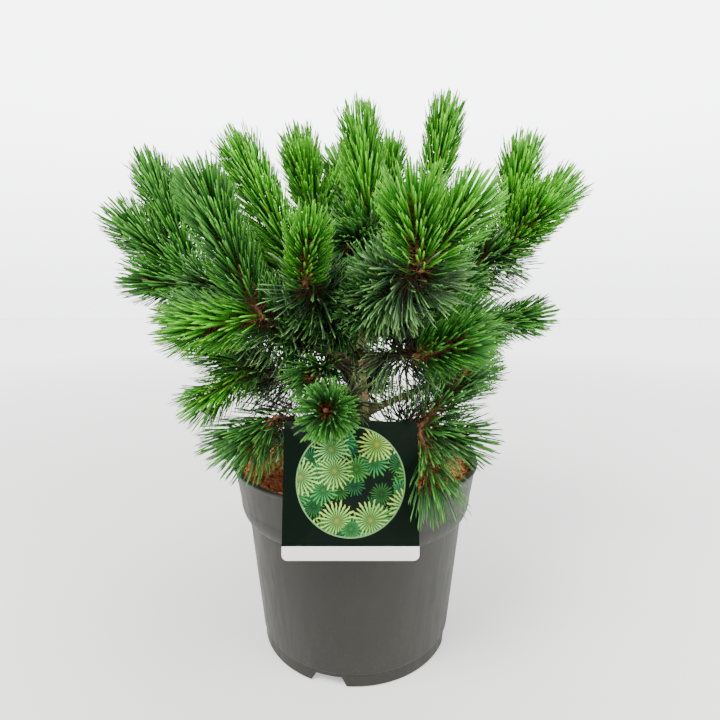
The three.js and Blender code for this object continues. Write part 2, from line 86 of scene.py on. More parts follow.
soft_panel("key_light", (-0.8, -1.0, 1.8), (0, 0, 0.35), 0.8, 60, (1.0, 0.98, 0.94))
soft_panel("fill_light", (1.2, -0.8, 1.15), (0, 0, 0.3), 0.9, 27, (1.0, 0.99, 0.97))
soft_panel("low_light", (0.35, -1.4, 0.62), (0, 0, 0.22), 0.9, 6.0, (1.0, 0.98, 0.95))
soft_panel("top_light", (0.2, 0.4, 1.8), (0, 0, 0.4), 1.2, 22, (1.0, 1.0, 0.97))

# %% [markdown]
# ## The studio's walls
#
# The world round the plant has two sides, picked by a Light Path node. All rays but the camera's
# meet a dim light that grows from the front to the back, which gives the far sides of the needles a
# thin rim. The camera alone meets a bright pale backdrop, which would wash the plant out if it lit
# it. The floor, at the end of this script, does the same.

# %% World
world = bpy.data.worlds.new("studio")
world.use_nodes = True
tree = world.node_tree


def set_levels(node, tint, stops):
    """Each stop of a ramp, (position, level), gets one tint times its level."""
    for element, (position, level) in zip(node.color_ramp.elements, stops):
        element.position, element.color = position, (*(part * level for part in tint), 1)


direction = tree.nodes.new("ShaderNodeTexCoord")
parts = tree.nodes.new("ShaderNodeSeparateXYZ")
tree.links.new(direction.outputs["Generated"], parts.inputs["Vector"])

to_back = tree.nodes.new("ShaderNodeMath")
to_back.operation = "MULTIPLY_ADD"
to_back.inputs[1].default_value, to_back.inputs[2].default_value = 0.5, 0.5
tree.links.new(parts.outputs["Y"], to_back.inputs[0])
wrap = tree.nodes.new("ShaderNodeValToRGB")
wrap.color_ramp.elements.new(0.5)
set_levels(wrap, (0.97, 0.99, 1), ((0.0, 0.22), (0.6, 0.85), (1.0, 1.8)))
tree.links.new(to_back.outputs[0], wrap.inputs["Fac"])
lighting = tree.nodes["Background"]
lighting.inputs["Strength"].default_value = 0.38
tree.links.new(wrap.outputs["Color"], lighting.inputs["Color"])

rise = tree.nodes.new("ShaderNodeValToRGB")
set_levels(rise, (0.98, 0.99, 1), ((0.0, 0.62), (0.3, 1.0)))
tree.links.new(parts.outputs["Z"], rise.inputs["Fac"])
backdrop = tree.nodes.new("ShaderNodeBackground")
backdrop.inputs["Strength"].default_value = 6.5
tree.links.new(rise.outputs["Color"], backdrop.inputs["Color"])

seen = tree.nodes.new("ShaderNodeLightPath")
either = tree.nodes.new("ShaderNodeMixShader")
tree.links.new(seen.outputs["Is Camera Ray"], either.inputs[0])
tree.links.new(lighting.outputs[0], either.inputs[1])
tree.links.new(backdrop.outputs[0], either.inputs[2])
tree.links.new(either.outputs[0], tree.nodes["World Output"].inputs["Surface"])
bpy.context.scene.world = world
print("world nodes:", len(tree.nodes))

# %% [markdown]
# ## From arrays to objects
#
# A plant has far too many parts to model one at a time. So each kind of part is worked out for the
# whole plant at once, as one array of points and one of faces, and becomes one Blender object. The
# helper below puts the arrays in without visiting a single point in Python, hangs the new piece
# under the root body and hides the parts of the packed model that it stands for.

# %% Put a piece in
MM = 0.001
chances = np.random.default_rng(11)


def put_in(name, points, faces, finish, stands_for, uv=None, sharp=None):
    """One object from points (mm) and faces: a list of arrays, one row of point numbers a face."""
    mesh = bpy.data.meshes.new(name)
    sizes = np.concatenate([np.full(len(rows), rows.shape[1]) for rows in faces])
    corners = np.concatenate([rows.ravel() for rows in faces]).astype(np.int32)
    mesh.vertices.add(len(points))
    mesh.vertices.foreach_set("co", (points * MM).astype(np.float32).ravel())
    mesh.loops.add(len(corners))
    mesh.loops.foreach_set("vertex_index", corners)
    mesh.polygons.add(len(sizes))
    mesh.polygons.foreach_set("loop_start", (np.cumsum(sizes) - sizes).astype(np.int32))
    mesh.update(calc_edges=True)
    if uv is not None:
        layer = mesh.uv_layers.new(name="UVMap")
        layer.data.foreach_set("uv", uv[corners].astype(np.float32).ravel())
    mesh.shade_smooth()
    if sharp is not None:
        mesh.set_sharp_from_angle(angle=np.radians(sharp))
    mesh.materials.append(finish)
    mesh.validate()
    piece = bpy.data.objects.new(name, mesh)
    bpy.context.collection.objects.link(piece)
    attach(piece, "root")
    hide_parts(*stands_for)
    print(f"{name}: {len(points)} points, {int(np.sum(sizes - 2))} triangles")


def grid_faces(rows, columns):
    """Four-cornered faces over rows of points that wrap round, each row joined to the next."""
    row, column = np.meshgrid(np.arange(rows - 1), np.arange(columns), indexing="ij")
    here = row * columns + column
    aside = row * columns + (column + 1) % columns
    return np.stack([here, aside, aside + columns, here + columns], axis=-1).reshape(-1, 4)


def with_ends(points, rows, columns):
    """Close rows of points that wrap round: the mean of the first row and of the last are added as
    two more points, and each side of those rows becomes a triangle to its mean."""
    ring = np.arange(columns)
    following, last = (ring + 1) % columns, (rows - 1) * columns
    means = [points[:columns].mean(axis=0), points[last:last + columns].mean(axis=0)]
    first_mean, last_mean = (np.full(columns, rows * columns + k) for k in (0, 1))
    fans = [np.stack([following, ring, first_mean], axis=-1),
            np.stack([last + ring, last + following, last_mean], axis=-1)]
    return np.concatenate([points, means]), [grid_faces(rows, columns), np.concatenate(fans)]


print("faces between three wrapped rows of four points:", len(grid_faces(3, 4)))

# %% [markdown]
# ## Finishes from nodes
#
# A finish here is a short chain: a place to read from (the object's own coordinates or the UV map),
# a pattern, a ramp of plain colours and the shader. The helper class keeps each chain to a few
# lines, so that the colours and the scales stand out, which are what the eye judges.

# %% A small helper for finishes
class Finish:
    """One material: add() makes a node with its settings, and joins whatever nodes it is given."""

    def __init__(self, name):
        self.material = bpy.data.materials.new(name)
        self.material.use_nodes = True
        self.tree = self.material.node_tree
        self.shader = self.tree.nodes["Principled BSDF"]
        self.place = self.add("ShaderNodeTexCoord")

    def add(self, kind, inputs=None, **settings):
        """A new node of one kind, with its settings made and its inputs joined."""
        node = self.tree.nodes.new(kind)
        for key, value in settings.items():
            setattr(node, key, value)
        self.join(node, inputs or {})
        return node

    def join(self, node, inputs):
        """Link each input that is another node's output, and set each one that is a plain value."""
        for key, value in inputs.items():
            if isinstance(value, bpy.types.NodeSocket):
                self.tree.links.new(value, node.inputs[key])
            else:
                node.inputs[key].default_value = value

    def noise(self, place, scale, detail=3, roughness=0.55):
        """Soft cloudy values from 0 to 1; the larger the scale, the smaller the clouds."""
        return self.add("ShaderNodeTexNoise", {"Vector": place, "Scale": scale, "Detail": detail,
                                               "Roughness": roughness}).outputs["Fac"]

    def ramp(self, value, stops):
        """Plain colours along a scale: stops are (position, (red, green, blue)) in linear light."""
        node = self.add("ShaderNodeValToRGB", {"Fac": value})
        while len(node.color_ramp.elements) < len(stops):
            node.color_ramp.elements.new(0.5)
        for element, (position, colour) in zip(node.color_ramp.elements, stops):
            element.position, element.color = position, (*colour, 1)
        return node.outputs["Color"]

    def mix(self, share, first, second, blend="MIX"):
        """Two colours blended: the first where the share is 0, the second where it is 1."""
        node = self.add("ShaderNodeMix", data_type="RGBA", blend_type=blend)
        self.join(node, {0: share, 6: first, 7: second})
        return node.outputs[2]

    def maths(self, way, first, second=0.0, third=0.0):
        """One sum or comparison of up to three values."""
        node = self.add("ShaderNodeMath", operation=way)
        self.join(node, {0: first, 1: second, 2: third})
        return node.outputs[0]

    def bump(self, height, distance, strength=1.0):
        """Fine relief in the light only, as deep as the distance (m)."""
        return self.add("ShaderNodeBump", {"Height": height, "Distance": distance,
                                           "Strength": strength}).outputs["Normal"]

    def end(self, **inputs):
        """Join the shader's sockets, named with _ for a space, and hand the material back."""
        for key, value in inputs.items():
            self.join(self.shader, {key.replace("_", " "): value})
        return self.material


def grey(value):
    """A colour with the same red, green and blue."""
    return (value, value, value)


print("helpers of a finish:", [name for name in vars(Finish) if not name.startswith("_")])

# %% [markdown]
# ## The sizes and the habit
#
# A young mountain pine is a short trunk with staggered whorls. Each limb leaves the trunk almost
# level, bends up, and ends in a whorl of this year's shoots. The table gives each limb the height
# where it leaves, its bearing (0 is the front, 90 the right), how far its whorl reaches and how
# high it stands, then its shoots: bearing, rise and length. The sizes are the packed model's, but
# for the trunk, which is a little slimmer than its solid. The angles of a habit say how far needles
# lean from the twig, first at its foot and last near its tip.

# %% Sizes (mm and degrees)
POT = dict(height=195, base=101, waist=115, collar=123, rim=128, lip=2, wall=2, waist_height=140,
           shoulder=19, foot=13, step=1.5)
DRAIN = dict(count=4, first=345.5, height=9, floor=35, top=26, depth=24)
SOIL = dict(ground=190)
CARD = dict(width=113, height=113, corner=5, lean=15.4, bottom=152, top=261, sideways=-3)
TRUNK = dict(foot=17, flare=26, radius=10.8, tip=4.5)
STEM_LENGTH = 52
LEVEL = dict(hanging=236, shade=320, high=330, top=430)  # heights at which the brushes change
YOUNG = dict(angles=(50, 40), tip_angle=21, spread=20, length=33, tip_length=39, crowd=0.66,
             stray=3.5, droop=0.02)
SHADE = {**YOUNG, "stray": 8, "droop": 0.1}
OLD = dict(angles=(86, 64), tip_angle=46, spread=30, length=50, tip_length=46, crowd=1.0,
           stray=11, droop=0.42)

HABIT = {
    "low_front": (252, 350, 97, 266, [(356, 14, 62)]),
    "low_right": (226, 34, 106, 249, [(70, 54, 62), (98, -16, 42), (6, -40, 56)]),
    "low_back_right": (240, 118, 112, 268, [(104, 8, 50), (142, 22, 58)]),
    "low_back": (232, 176, 118, 262, [(170, -12, 58), (196, 24, 66)]),
    "low_back_left": (248, 238, 114, 272, [(226, -6, 56), (250, 20, 50)]),
    "low_left": (230, 315, 104, 254, [(284, -24, 42), (322, -34, 38)]),
    "mid_left": (262, 298, 112, 300, [(303, -32, 54), (254, 20, 42)]),
    "mid_front": (284, 338, 62, 306, [(342, -12, 44)]),
    "mid_right": (304, 28, 112, 316, [(44, 17, 50), (96, 34, 52)]),
    "side_right": (290, 98, 140, 337, [(90, 6, 50)]),
    "side_back_right": (318, 134, 140, 348, [(116, 30, 66), (150, 14, 62)]),
    "side_back": (302, 186, 138, 352, [(176, 10, 66), (200, 42, 70)]),
    "side_back_left": (330, 226, 142, 350, [(214, 8, 62), (244, 26, 64)]),
    "left": (312, 270, 162, 376, [(272, 42, 90), (248, 64, 124), (294, 6, 50)]),
    "front_left": (296, 314, 115, 348, [(283, 67, 112), (290, -8, 62), (256, 0, 72)]),
    "front": (318, 335, 101, 375, [(12, 50, 50)]),
    "front_right": (334, 20, 148, 388, [(338, 58, 50), (72, 52, 54)]),
    "right": (326, 90, 153, 412, [(92, 80, 86), (90, 46, 76), (24, 36, 60)]),
    "back_right": (346, 140, 118, 414, [(128, 46, 78), (158, 62, 76)]),
    "back": (360, 182, 96, 424, [(184, 36, 74), (150, 70, 70)]),
    "back_left": (344, 252, 148, 424, [(244, 44, 84), (292, 76, 50)]),
    "upper_left": (356, 302, 54, 378, [(287, 62, 124)]),
    "top_left": (376, 236, 50, 440, [(262, 78, 76), (310, 72, 62), (96, 56, 44)]),
    "top_right": (384, 104, 80, 458, [(92, 80, 84)]),
    "top_back": (400, 150, 76, 466, [(170, 84, 54), (196, 54, 60)]),
    "top_front": (380, 38, 24, 432, [(300, 83, 86), (339, -22, 58)]),
    "leader": (427, 170, 30, 462, [(190, 80, 52), (214, 48, 62)]),
}
NO_BOUGH = ("mid_front", "leader")  # these whorls grow straight from the trunk
print("limbs in the table:", len(HABIT), " shoots:", sum(len(row[4]) for row in HABIT.values()))

# %% [markdown]
# ## Lines to grow along
#
# Trunk, limbs, stems and shoots are all lines in space with something grown round them. A line is
# stored as a row of close points with the share of its length at each, so any share can be read
# off by interpolation. Round a line, "under" and "beside" are two directions square to it that
# don't twist, which keeps rings of bark and spirals of needles in order.

# %% Lines
def line_of(points):
    """Points along a line, the share of its length reached at each, its direction and length."""
    reached = np.concatenate([[0], np.cumsum(np.linalg.norm(np.diff(points, axis=0), axis=1))])
    way = np.gradient(points, axis=0)
    way /= np.linalg.norm(way, axis=1, keepdims=True)
    across = np.cross((0, 0, 1) if abs(points[-1, 2] - points[0, 2]) < 0.999 * reached[-1]
                      else (0, 1, 0), points[-1] - points[0])
    return dict(points=points, share=reached / reached[-1], way=way, length=reached[-1],
                across=across / np.linalg.norm(across))


def read_off(line, what, share):
    """Read points or directions off a line at any share, by straight lines between its points."""
    return np.stack([np.interp(share, line["share"], line[what][:, k]) for k in range(3)], axis=-1)


def frame_at(line, share):
    """The centre, and the unit directions along, under and beside the line, at each share."""
    along = read_off(line, "way", share)
    along /= np.linalg.norm(along, axis=-1, keepdims=True)
    under = np.cross(line["across"], along)
    under /= np.linalg.norm(under, axis=-1, keepdims=True)
    return read_off(line, "points", share), along, under, np.cross(along, under)


def bent(first, middle, last, steps=60):
    """A bent line: (1-t)(1-t) first + 2t(1-t) middle + t t last, for t from 0 to 1."""
    t = np.linspace(0, 1, steps)[:, None]
    return line_of((1 - t) ** 2 * first + 2 * t * (1 - t) * middle + t ** 2 * last)


def heading(bearing, rise):
    """A unit direction: bearing goes round from the front towards the right, rise lifts it."""
    b, r = np.radians(bearing), np.radians(rise)
    return np.array([np.sin(b) * np.cos(r), -np.cos(b) * np.cos(r), np.sin(r)])


def smooth_through(stations, steps=60):
    """A line through each station: between two of them a cubic, whose end slopes come from the
    neighbours, weighed by the square roots of the distances (a centripetal spline)."""
    known = np.array([2 * stations[0] - stations[1], *stations, 2 * stations[-1] - stations[-2]])
    t = np.linspace(0, 1, steps, endpoint=False)[:, None]
    parts = []
    for a, b, c, d in zip(known, known[1:], known[2:], known[3:]):
        before, here, after = (np.linalg.norm(q - p) ** 0.5 for p, q in ((a, b), (b, c), (c, d)))
        leave = ((b - a) / before - (c - a) / (before + here) + (c - b) / here) * here
        arrive = ((c - b) / here - (d - b) / (here + after) + (d - c) / after) * here
        parts.append(b + leave * t + (3 * (c - b) - 2 * leave - arrive) * t ** 2
                     + (2 * (b - c) + leave + arrive) * t ** 3)
    return line_of(np.concatenate([*parts, [stations[-1]]]))


print("a shoot straight up heads for", np.round(heading(0, 90), 3).tolist())

# %% [markdown]
# ## The skeleton
#
# The skeleton is grown by the same rule as the packed solids, so every twig lies where its solid
# does. A limb runs from the trunk's pith to its whorl; the last five centimetres of it are last
# year's stem, which still carries old needles. Each shoot sags a little under its needles. Real
# limbs also carry weak side shoots between the strong ones, and these are what fills a crown. Each
# of them tries five directions, turned on by the golden angle from shoot to shoot, and takes the
# one with the most room, which is the way towards the light.

# %% Grow the skeleton
trunk = smooth_through(np.array([(7, 0, 190.3), (5.6, 0, 240), (0, 2, 315), (4, 14, 428)], float))


def trunk_radius(share):
    """The shaft tapers evenly, and near the foot it flares with the square of the nearness."""
    flare = np.maximum(0, 1 - share * trunk["length"] / TRUNK["flare"])
    return (TRUNK["radius"] + (TRUNK["tip"] - TRUNK["radius"]) * share
            + (TRUNK["foot"] - TRUNK["radius"]) * flare ** 2)


def shoot_line(start, bearing, rise, length):
    """A shoot sinks 3 mm into its whorl and sags by 6 parts in a hundred of its length."""
    way = heading(bearing, rise)
    foot, tip = start - 3 * way, start + length * way
    return bent(foot, (foot + tip) / 2 - (0, 0, 0.06 * length), tip)


limbs = []
for number, (name, (leaves, bearing, reach, height, shoots)) in enumerate(HABIT.items()):
    root = read_off(trunk, "points", np.interp(leaves, trunk["points"][:, 2], trunk["share"]))
    whorl = heading(bearing, 0) * reach + (0, 0, height)
    elbow = (root + whorl) / 2
    elbow[2] = root[2] + 0.3 * (whorl[2] - root[2])
    line = bent(root, elbow, whorl, 120)
    rooted = name not in NO_BOUGH
    joint = max(1 - STEM_LENGTH / line["length"], 0.3) if rooted else 0
    thick = 3.2 + 0.012 * reach
    limbs.append(dict(name=name, number=number, line=line, rooted=rooted, joint=joint, thick=thick,
                      whorl=whorl, shoots=[shoot_line(whorl, *one) for one in shoots], side=[]))
print("limbs:", len(limbs), " shoots:", sum(len(limb["shoots"]) for limb in limbs))

# %% Side shoots
GOLDEN = 137.508
crowd = [read_off(line, "points", np.linspace(0.3, 1, 8))
         for limb in limbs for line in (limb["line"], *limb["shoots"])]


def side_shoot(limb, share, turn, longest):
    """Of five directions round the limb, the shoot takes the one whose tip has the most room, and
    it grows as long as that room lets it. Its tip stays near the reach of its own whorl, and
    further in at the front, where the trunk and the label show."""
    centre, along, under, beside = frame_at(limb["line"], share)
    angles = np.radians(GOLDEN * (turn + 3 * limb["number"]) + 72 * np.arange(5))[:, None]
    ways = along + 1.1 * (beside * np.sin(angles) + under * np.cos(angles)) + (0, 0, 0.35)
    ways /= np.linalg.norm(ways, axis=1, keepdims=True)
    tips = centre + 0.7 * longest * ways
    room = np.linalg.norm(tips[:, None] - np.concatenate(crowd)[None], axis=-1).min(axis=1)
    whorl = limb["whorl"]
    margin = 12 if whorl[1] > -70 else -14
    inside = tips[:, 2] < whorl[2] + 8
    inside &= np.hypot(tips[:, 0], tips[:, 1]) < np.hypot(*whorl[:2]) + margin
    if not inside.any():
        return None
    pick = np.argmax(room - 100 * ~inside)
    length = min(longest, max(22, 1.2 * room[pick])) * chances.uniform(0.85, 1.1)
    way = ways[pick]
    middle, tip = centre + way * length * 0.55 - (0, 0, 1.5), centre + way * length + (0, 0, 2)
    shoot = bent(centre, middle, tip)
    crowd.append(read_off(shoot, "points", np.linspace(0.5, 1, 4)))
    return shoot


for limb in limbs:
    if limb["name"] in ("low_front", "mid_front", "low_left"):
        continue  # the trunk shows between these, so they carry no side shoots
    high, joint = limb["whorl"][2] > LEVEL["high"], limb["joint"]
    on_stem = joint + (1 - joint) * np.array([0.35, 0.52, 0.68, 0.84] if high else [0.55, 0.8])
    on_bough = joint * np.array([0.9, 0.74, 0.58]) if high else []
    grown = [side_shoot(limb, share, turn, 30 if not high else 42 if turn < 4 else 60)
             for turn, share in enumerate([*on_stem, *on_bough])]
    limb["side"] = [shoot for shoot in grown if shoot is not None]
lengths = [shoot["length"] for limb in limbs for shoot in limb["side"]]
print(f"side shoots: {len(lengths)}, {min(lengths):.0f} to {max(lengths):.0f} mm long")

# %% [markdown]
# ## Room for a needle
#
# Needles of neighbouring brushes mingle, but none goes through wood, the pot or the label. So the
# skeleton is also kept as short straight runs, each with a radius and an owner. A needle stays if
# its points are clear of the wood, and if it is about as near to its own limb's twigs as to any
# other limb's, which is the packed model's rule for who owns the space between two masses.

# %% Runs of wood and twig
def runs_of(line, start, end, radius_from, radius_to, owner, pieces=4):
    """A stretch of a line as straight runs: two ends, a radius and the number of its limb."""
    shares = np.linspace(start, end, pieces + 1)
    stations = read_off(line, "points", shares)
    radii = np.linspace(radius_from, radius_to, pieces)
    return [(a, b, r, owner) for a, b, r in zip(stations, stations[1:], radii)]


wood = runs_of(trunk, 0, 1, 14, 5, -1, 8)
twigs = []
for limb in limbs:
    line, joint, thick = limb["line"], limb["joint"], limb["thick"]
    if limb["rooted"]:
        wood += runs_of(line, 0, joint, thick, 0.8 * thick, limb["number"])
    twigs += runs_of(line, joint, 1, 4, 3.4, limb["number"], 3)
    for shoot in limb["shoots"] + limb["side"]:
        twigs += runs_of(shoot, 0, 1, 3, 2, limb["number"], 3)


def distance_to(run, points):
    """How far points lie from a straight run: from the nearest point between its two ends."""
    start, end = run[0], run[1]
    whole = end - start
    share = np.clip((points - start) @ whole / (whole @ whole), 0, 1)
    return np.linalg.norm(points - start - share[..., None] * whole, axis=-1)


def clear_of_things(points, room):
    """True for points clear of the pot's wall, the mulch and the leaning label by the room."""
    across = np.hypot(points[..., 0], points[..., 1])
    height = points[..., 2]
    rim = POT["rim"] + POT["lip"]
    wall = (height < POT["height"] + room) & (across > POT["collar"] - 1) & (across < rim + room)
    mulch = (height < SOIL["ground"] + room) & (across < rim)
    lean = np.tan(np.radians(CARD["lean"]))
    back = -rim - 0.5 + (height - POT["height"] + 1.5) * lean
    card = ((np.abs(points[..., 0] - CARD["sideways"]) < CARD["width"] / 2 + room)
            & (height < CARD["top"] + room) & (points[..., 1] < back + room)
            & (points[..., 1] > back - 2.5 - room))
    return ~(wall | mulch | card)


def has_room(points, owner, slack, room=0.8):
    """Which needles (n x 25 samples x 3) keep clear of wood and things, and end in or near the
    space of their own limb."""
    clear = clear_of_things(points, room).all(axis=1)
    for run in wood:
        clear &= (distance_to(run, points[:, 6::4]) > run[2] + room).all(axis=1)
    tips = points[:, -1]
    own = np.full(len(tips), 1e9)
    other = np.full(len(tips), 1e9)
    for run in twigs:
        away = distance_to(run, tips)
        mine = owner == run[3]
        own = np.where(mine, np.minimum(own, away), own)
        other = np.where(mine, other, np.minimum(other, away))
    return clear & (own < other + slack)


print("runs of wood:", len(wood), " runs of twig:", len(twigs))

# %% [markdown]
# ## Needles
#
# A mountain pine's needles come in pairs out of one sheath, about 1.6 mm wide and 3 to 4 cm long,
# flat on the inner side and round on the outer. They could be flat cards, but a card shows its
# thinness from the side, so each needle is a three-sided blade with a ridge on its back: sixteen
# triangles. The pairs go up a shoot by the golden angle, as leaves do on any twig. Young needles
# stand up round the shoot like a brush and curve in a little; old ones stand out like a bottle
# brush, and hide the wood behind them.

# %% Grow needles along a twig
def sprig(line, owner, habit, per_mm, start, radius, grow=1.0, slim=1.0, opening=1.0):
    """Where each needle of a twig starts and how it lies. The lean from the twig falls evenly along
    it from the first angle to the second, and over the last part it closes round the bud. The pairs
    stand a little closer towards the tip, as the power of the count sets it. grow scales the
    needles' length, slim their width and opening their lean."""
    pairs = int(line["length"] * (1 - start) * per_mm / 2)
    count = (np.arange(pairs) + chances.uniform(0, 1, pairs)) / pairs
    share = np.repeat(start + (0.99 - start) * count ** habit["crowd"], 2)
    turn = np.repeat(np.radians(GOLDEN * np.arange(pairs) + 360 * chances.random()), 2)
    turn = turn + chances.normal(0, 0.16, 2 * pairs) + np.tile([-0.1, 0.1], pairs)
    centre, along, under, beside = frame_at(line, share)
    out = beside * np.sin(turn)[:, None] + under * np.cos(turn)[:, None]
    closing = np.clip((share - 0.82) / 0.16, 0, 1)
    first, last = habit["angles"]
    inmost = habit["tip_angle"] + habit["spread"] * chances.uniform(-0.9, 1, 2 * pairs)
    lean = (1 - closing) * (first + (last - first) * share) + closing * inmost
    lean = np.radians(opening * lean + chances.normal(0, habit["stray"], 2 * pairs))
    length = (1 - share) * habit["length"] + share * habit["tip_length"]
    length = grow * length * chances.uniform(0.9, 1.03, 2 * pairs)
    droop = habit["droop"] * chances.uniform(0.2, 1.4, 2 * pairs)
    return dict(foot=centre + out * radius, along=along, out=out, lean=lean, length=length,
                droop=droop, owner=np.full(2 * pairs, owner), slim=np.full(2 * pairs, slim))


SHARES = np.array([0.0, 0.42, 0.92, 1.0])
WIDTHS = np.array([0.7, 1.0, 0.9])


def blades(sprigs, half_width, curl, slack):
    """Points and faces of needles. A needle's middle line is foot + length (s(1-s) start
    + s s end), where start leans out by the curl and end doesn't, so that it bends in towards the
    twig's tip, and the end hangs by the droop. At three shares stand three corners, two beside and
    one behind; the last share is the tip."""
    joined = {key: np.concatenate([one[key] for one in sprigs]) for key in sprigs[0]}

    def leaning(angle):
        """Directions that lean out from the twig by an angle for each needle."""
        return (joined["along"] * np.cos(angle)[:, None] + joined["out"] * np.sin(angle)[:, None])

    bend = curl * chances.uniform(0.55, 1.45, len(joined["lean"]))
    start, end = leaning(joined["lean"] + bend), leaning(joined["lean"])
    end[:, 2] -= joined["droop"]
    end /= np.linalg.norm(end, axis=1, keepdims=True)

    def middle_at(shares):
        """Points on each needle's middle line at the shares."""
        s = shares[None, :, None]
        return (joined["foot"][:, None] + joined["length"][:, None, None]
                * (s * (1 - s) * start[:, None] + s * s * end[:, None]))

    keep = has_room(middle_at(np.linspace(0, 1, 25)), joined["owner"], slack)
    middle, along, out = middle_at(SHARES)[keep], joined["along"][keep], joined["out"][keep]
    side = np.cross(along, out)
    behind = np.cross(side, end[keep])
    turned_over = np.where(np.einsum("nk,nk->n", behind, out) < 0, -1, 1)[:, None]
    side, behind = side * turned_over, behind * turned_over
    own_width = half_width * joined["slim"][keep] * chances.uniform(0.85, 1.15, len(side))
    width = WIDTHS[None, :, None] * own_width[:, None, None]
    rings = np.stack([middle[:, :3] - width * side[:, None],
                      middle[:, :3] + width * side[:, None],
                      middle[:, :3] - 0.8 * width * behind[:, None]], axis=2)
    count = len(side)
    points = np.concatenate([rings.reshape(count, 9, 3), middle[:, 3:]], axis=1)
    faces = []
    for ring in range(2):
        for a, b in ((0, 1), (1, 2), (2, 0)):
            low, high = 3 * ring + a, 3 * ring + b
            faces += [(low, high, high + 3), (low, high + 3, low + 3)]
    faces += [(6, 7, 9), (7, 8, 9), (8, 6, 9), (0, 2, 1)]
    faces = (np.array(faces)[None] + 10 * np.arange(count)[:, None, None]).reshape(-1, 3)
    lot = np.repeat(chances.random(count), 10)
    share = np.tile(np.concatenate([np.repeat(SHARES[:3], 3), [1.0]]), count)
    return points.reshape(-1, 3), faces, np.stack([share, lot], axis=-1), keep.mean()


print("corners of a needle:", 3 * len(WIDTHS) + 1, " triangles:", 16)

# %% [markdown]
# ## The colour of needles
#
# A brush isn't one green. Each needle is pale where the sheath held it, then darker just above it,
# which is painted shade in the heart of the brush. It is greenest in the middle and yellower at
# the tip, partly the tip's own colour and partly painted light on the brush's outer ends, and on
# last year's needles the pale tip is a painted highlight. No two needles have quite the same
# green. The UV map carries both facts: its first number is the share along the needle and its
# second is that needle's own chance. The four kinds, from this spring's open brushes to last
# year's needles, are plain base colours, and each spray is dealt to one of them by where it
# stands, so their lighter and darker greens are partly painted light and shade.

# %% Needle finishes
def needle_finish(name, sheath, body, tip, shine=0.36, rough=0.4):
    """Colours along the needle, times a tone for each needle, times broad soft patches. Past the
    sheath comes a darker stop, painted shade in the heart of the brush; the paler tip is partly
    painted light.
    """
    one = Finish(name)
    parts = one.add("ShaderNodeSeparateXYZ", {"Vector": one.place.outputs["UV"]})
    # Painted shade: the stop just past the sheath is the body at 0.42, darkening the heart of the
    # brush. The tip stop is paler, partly the tip's own colour and partly painted light.
    painted_heart_shade = tuple(0.42 * level for level in body)
    along = one.ramp(parts.outputs["X"], [(0.19, sheath), (0.28, painted_heart_shade), (0.66, body), (1.0, tip)])
    tone = one.ramp(parts.outputs["Y"], [(0.0, grey(0.5)), (0.5, grey(0.98)), (0.96, grey(1.45)),
                                         (1.0, (1.5, 1.2, 0.8))])
    colour = one.mix(1.0, along, tone, "MULTIPLY")
    patches = one.ramp(one.noise(one.place.outputs["Object"], 26, 1),
                       [(0.35, grey(0.86)), (0.65, grey(1.12))])
    colour = one.mix(1.0, colour, patches, "MULTIPLY")
    return one.end(Base_Color=colour, Roughness=rough, Specular_IOR_Level=shine)


# Painted light and shade: fresh, green and deep are lighter and darker copies of one green for
# sprays in more or less light, and last year's needles, darker in truth, get their bodies darkened
# further as painted shade.
KINDS = {kind: needle_finish(f"needles_{kind}", *colours) for kind, *colours in (
    ("fresh", (0.42, 0.2, 0.065), (0.038, 0.285, 0.008), (0.15, 0.53, 0.026)),
    ("green", (0.36, 0.17, 0.055), (0.024, 0.162, 0.014), (0.09, 0.36, 0.03)),
    ("deep", (0.24, 0.12, 0.04), (0.028, 0.142, 0.021), (0.09, 0.34, 0.042), 0.5),
    ("old", (0.10, 0.055, 0.022), (0.018, 0.068, 0.015), (0.15, 0.36, 0.088), 1.0, 0.28))}
foliage_nodes = [name for name in nodes if name.startswith("foliage_")]
print("kinds of needles:", list(KINDS), " masses they replace:", len(foliage_nodes))

# %% [markdown]
# ## Dealing out the sprays
#
# The brightest brushes are the strong shoots that stand in the light: those that point up or out
# at the edge of the crown, and their paler greens are painted light. Shoots low down or deep
# inside get the deeper greens, which are painted shade, and their needles are slimmer, longer and
# looser, as shade needles are. The topmost brushes close up a little towards the light. Each shoot
# is scored by how high and how far out its tip stands, with a little chance, and the score picks
# its kind; a few shoots keep the green that they are seen to have, painted light on some and
# painted shade on others, and a few weak ones get shorter needles.

# %% Which shoot gets which green
# Shoots given the kind they are seen to have: fresh is painted light on them, deep painted shade.
SEEN = {
    **dict.fromkeys([("mid_left", 0), ("front", 0), ("front_right", 0), ("front_right", 1),
                     ("front_left", 1), ("upper_left", 0)], "fresh"),
    **dict.fromkeys([("mid_right", 0), ("mid_right", 1), ("left", 0), ("left", 1), ("left", 2),
                     ("front_left", 0), ("back_left", 0)], "green"),
    **dict.fromkeys([("low_front", 0), ("low_left", 0), ("low_left", 1), ("low_right", 0),
                     ("low_right", 1), ("low_right", 2)], "deep")}
WEAK = {("low_front", 0): 0.9, ("mid_left", 0): 0.92, ("mid_front", 0): 0.95, ("front", 0): 0.82}


def kind_of(name, place, line):
    """The score grows with the tip's distance from the crown's middle and with its height, so the
    kind it picks paints light on the outer, high shoots and shade on the inner, low ones.
    """
    tip = line["points"][-1]
    outward = np.linalg.norm((tip - (0, 10, 330)) / (200, 200, 190))
    score = outward + 0.25 * (tip[2] - 300) / 200 + chances.normal(0, 0.1)
    return SEEN.get((name, place), "fresh" if score > 1.05 else "green" if score > 0.7 else "deep")


print("shoots with a green of their own:", len(SEEN), " weak ones:", len(WEAK))

# %% Grow the sprays
PER_MM = dict(old_high=5.6, old_low=3.8, light=5.8, shade=5.0, hanging=3.5, side=4.2)

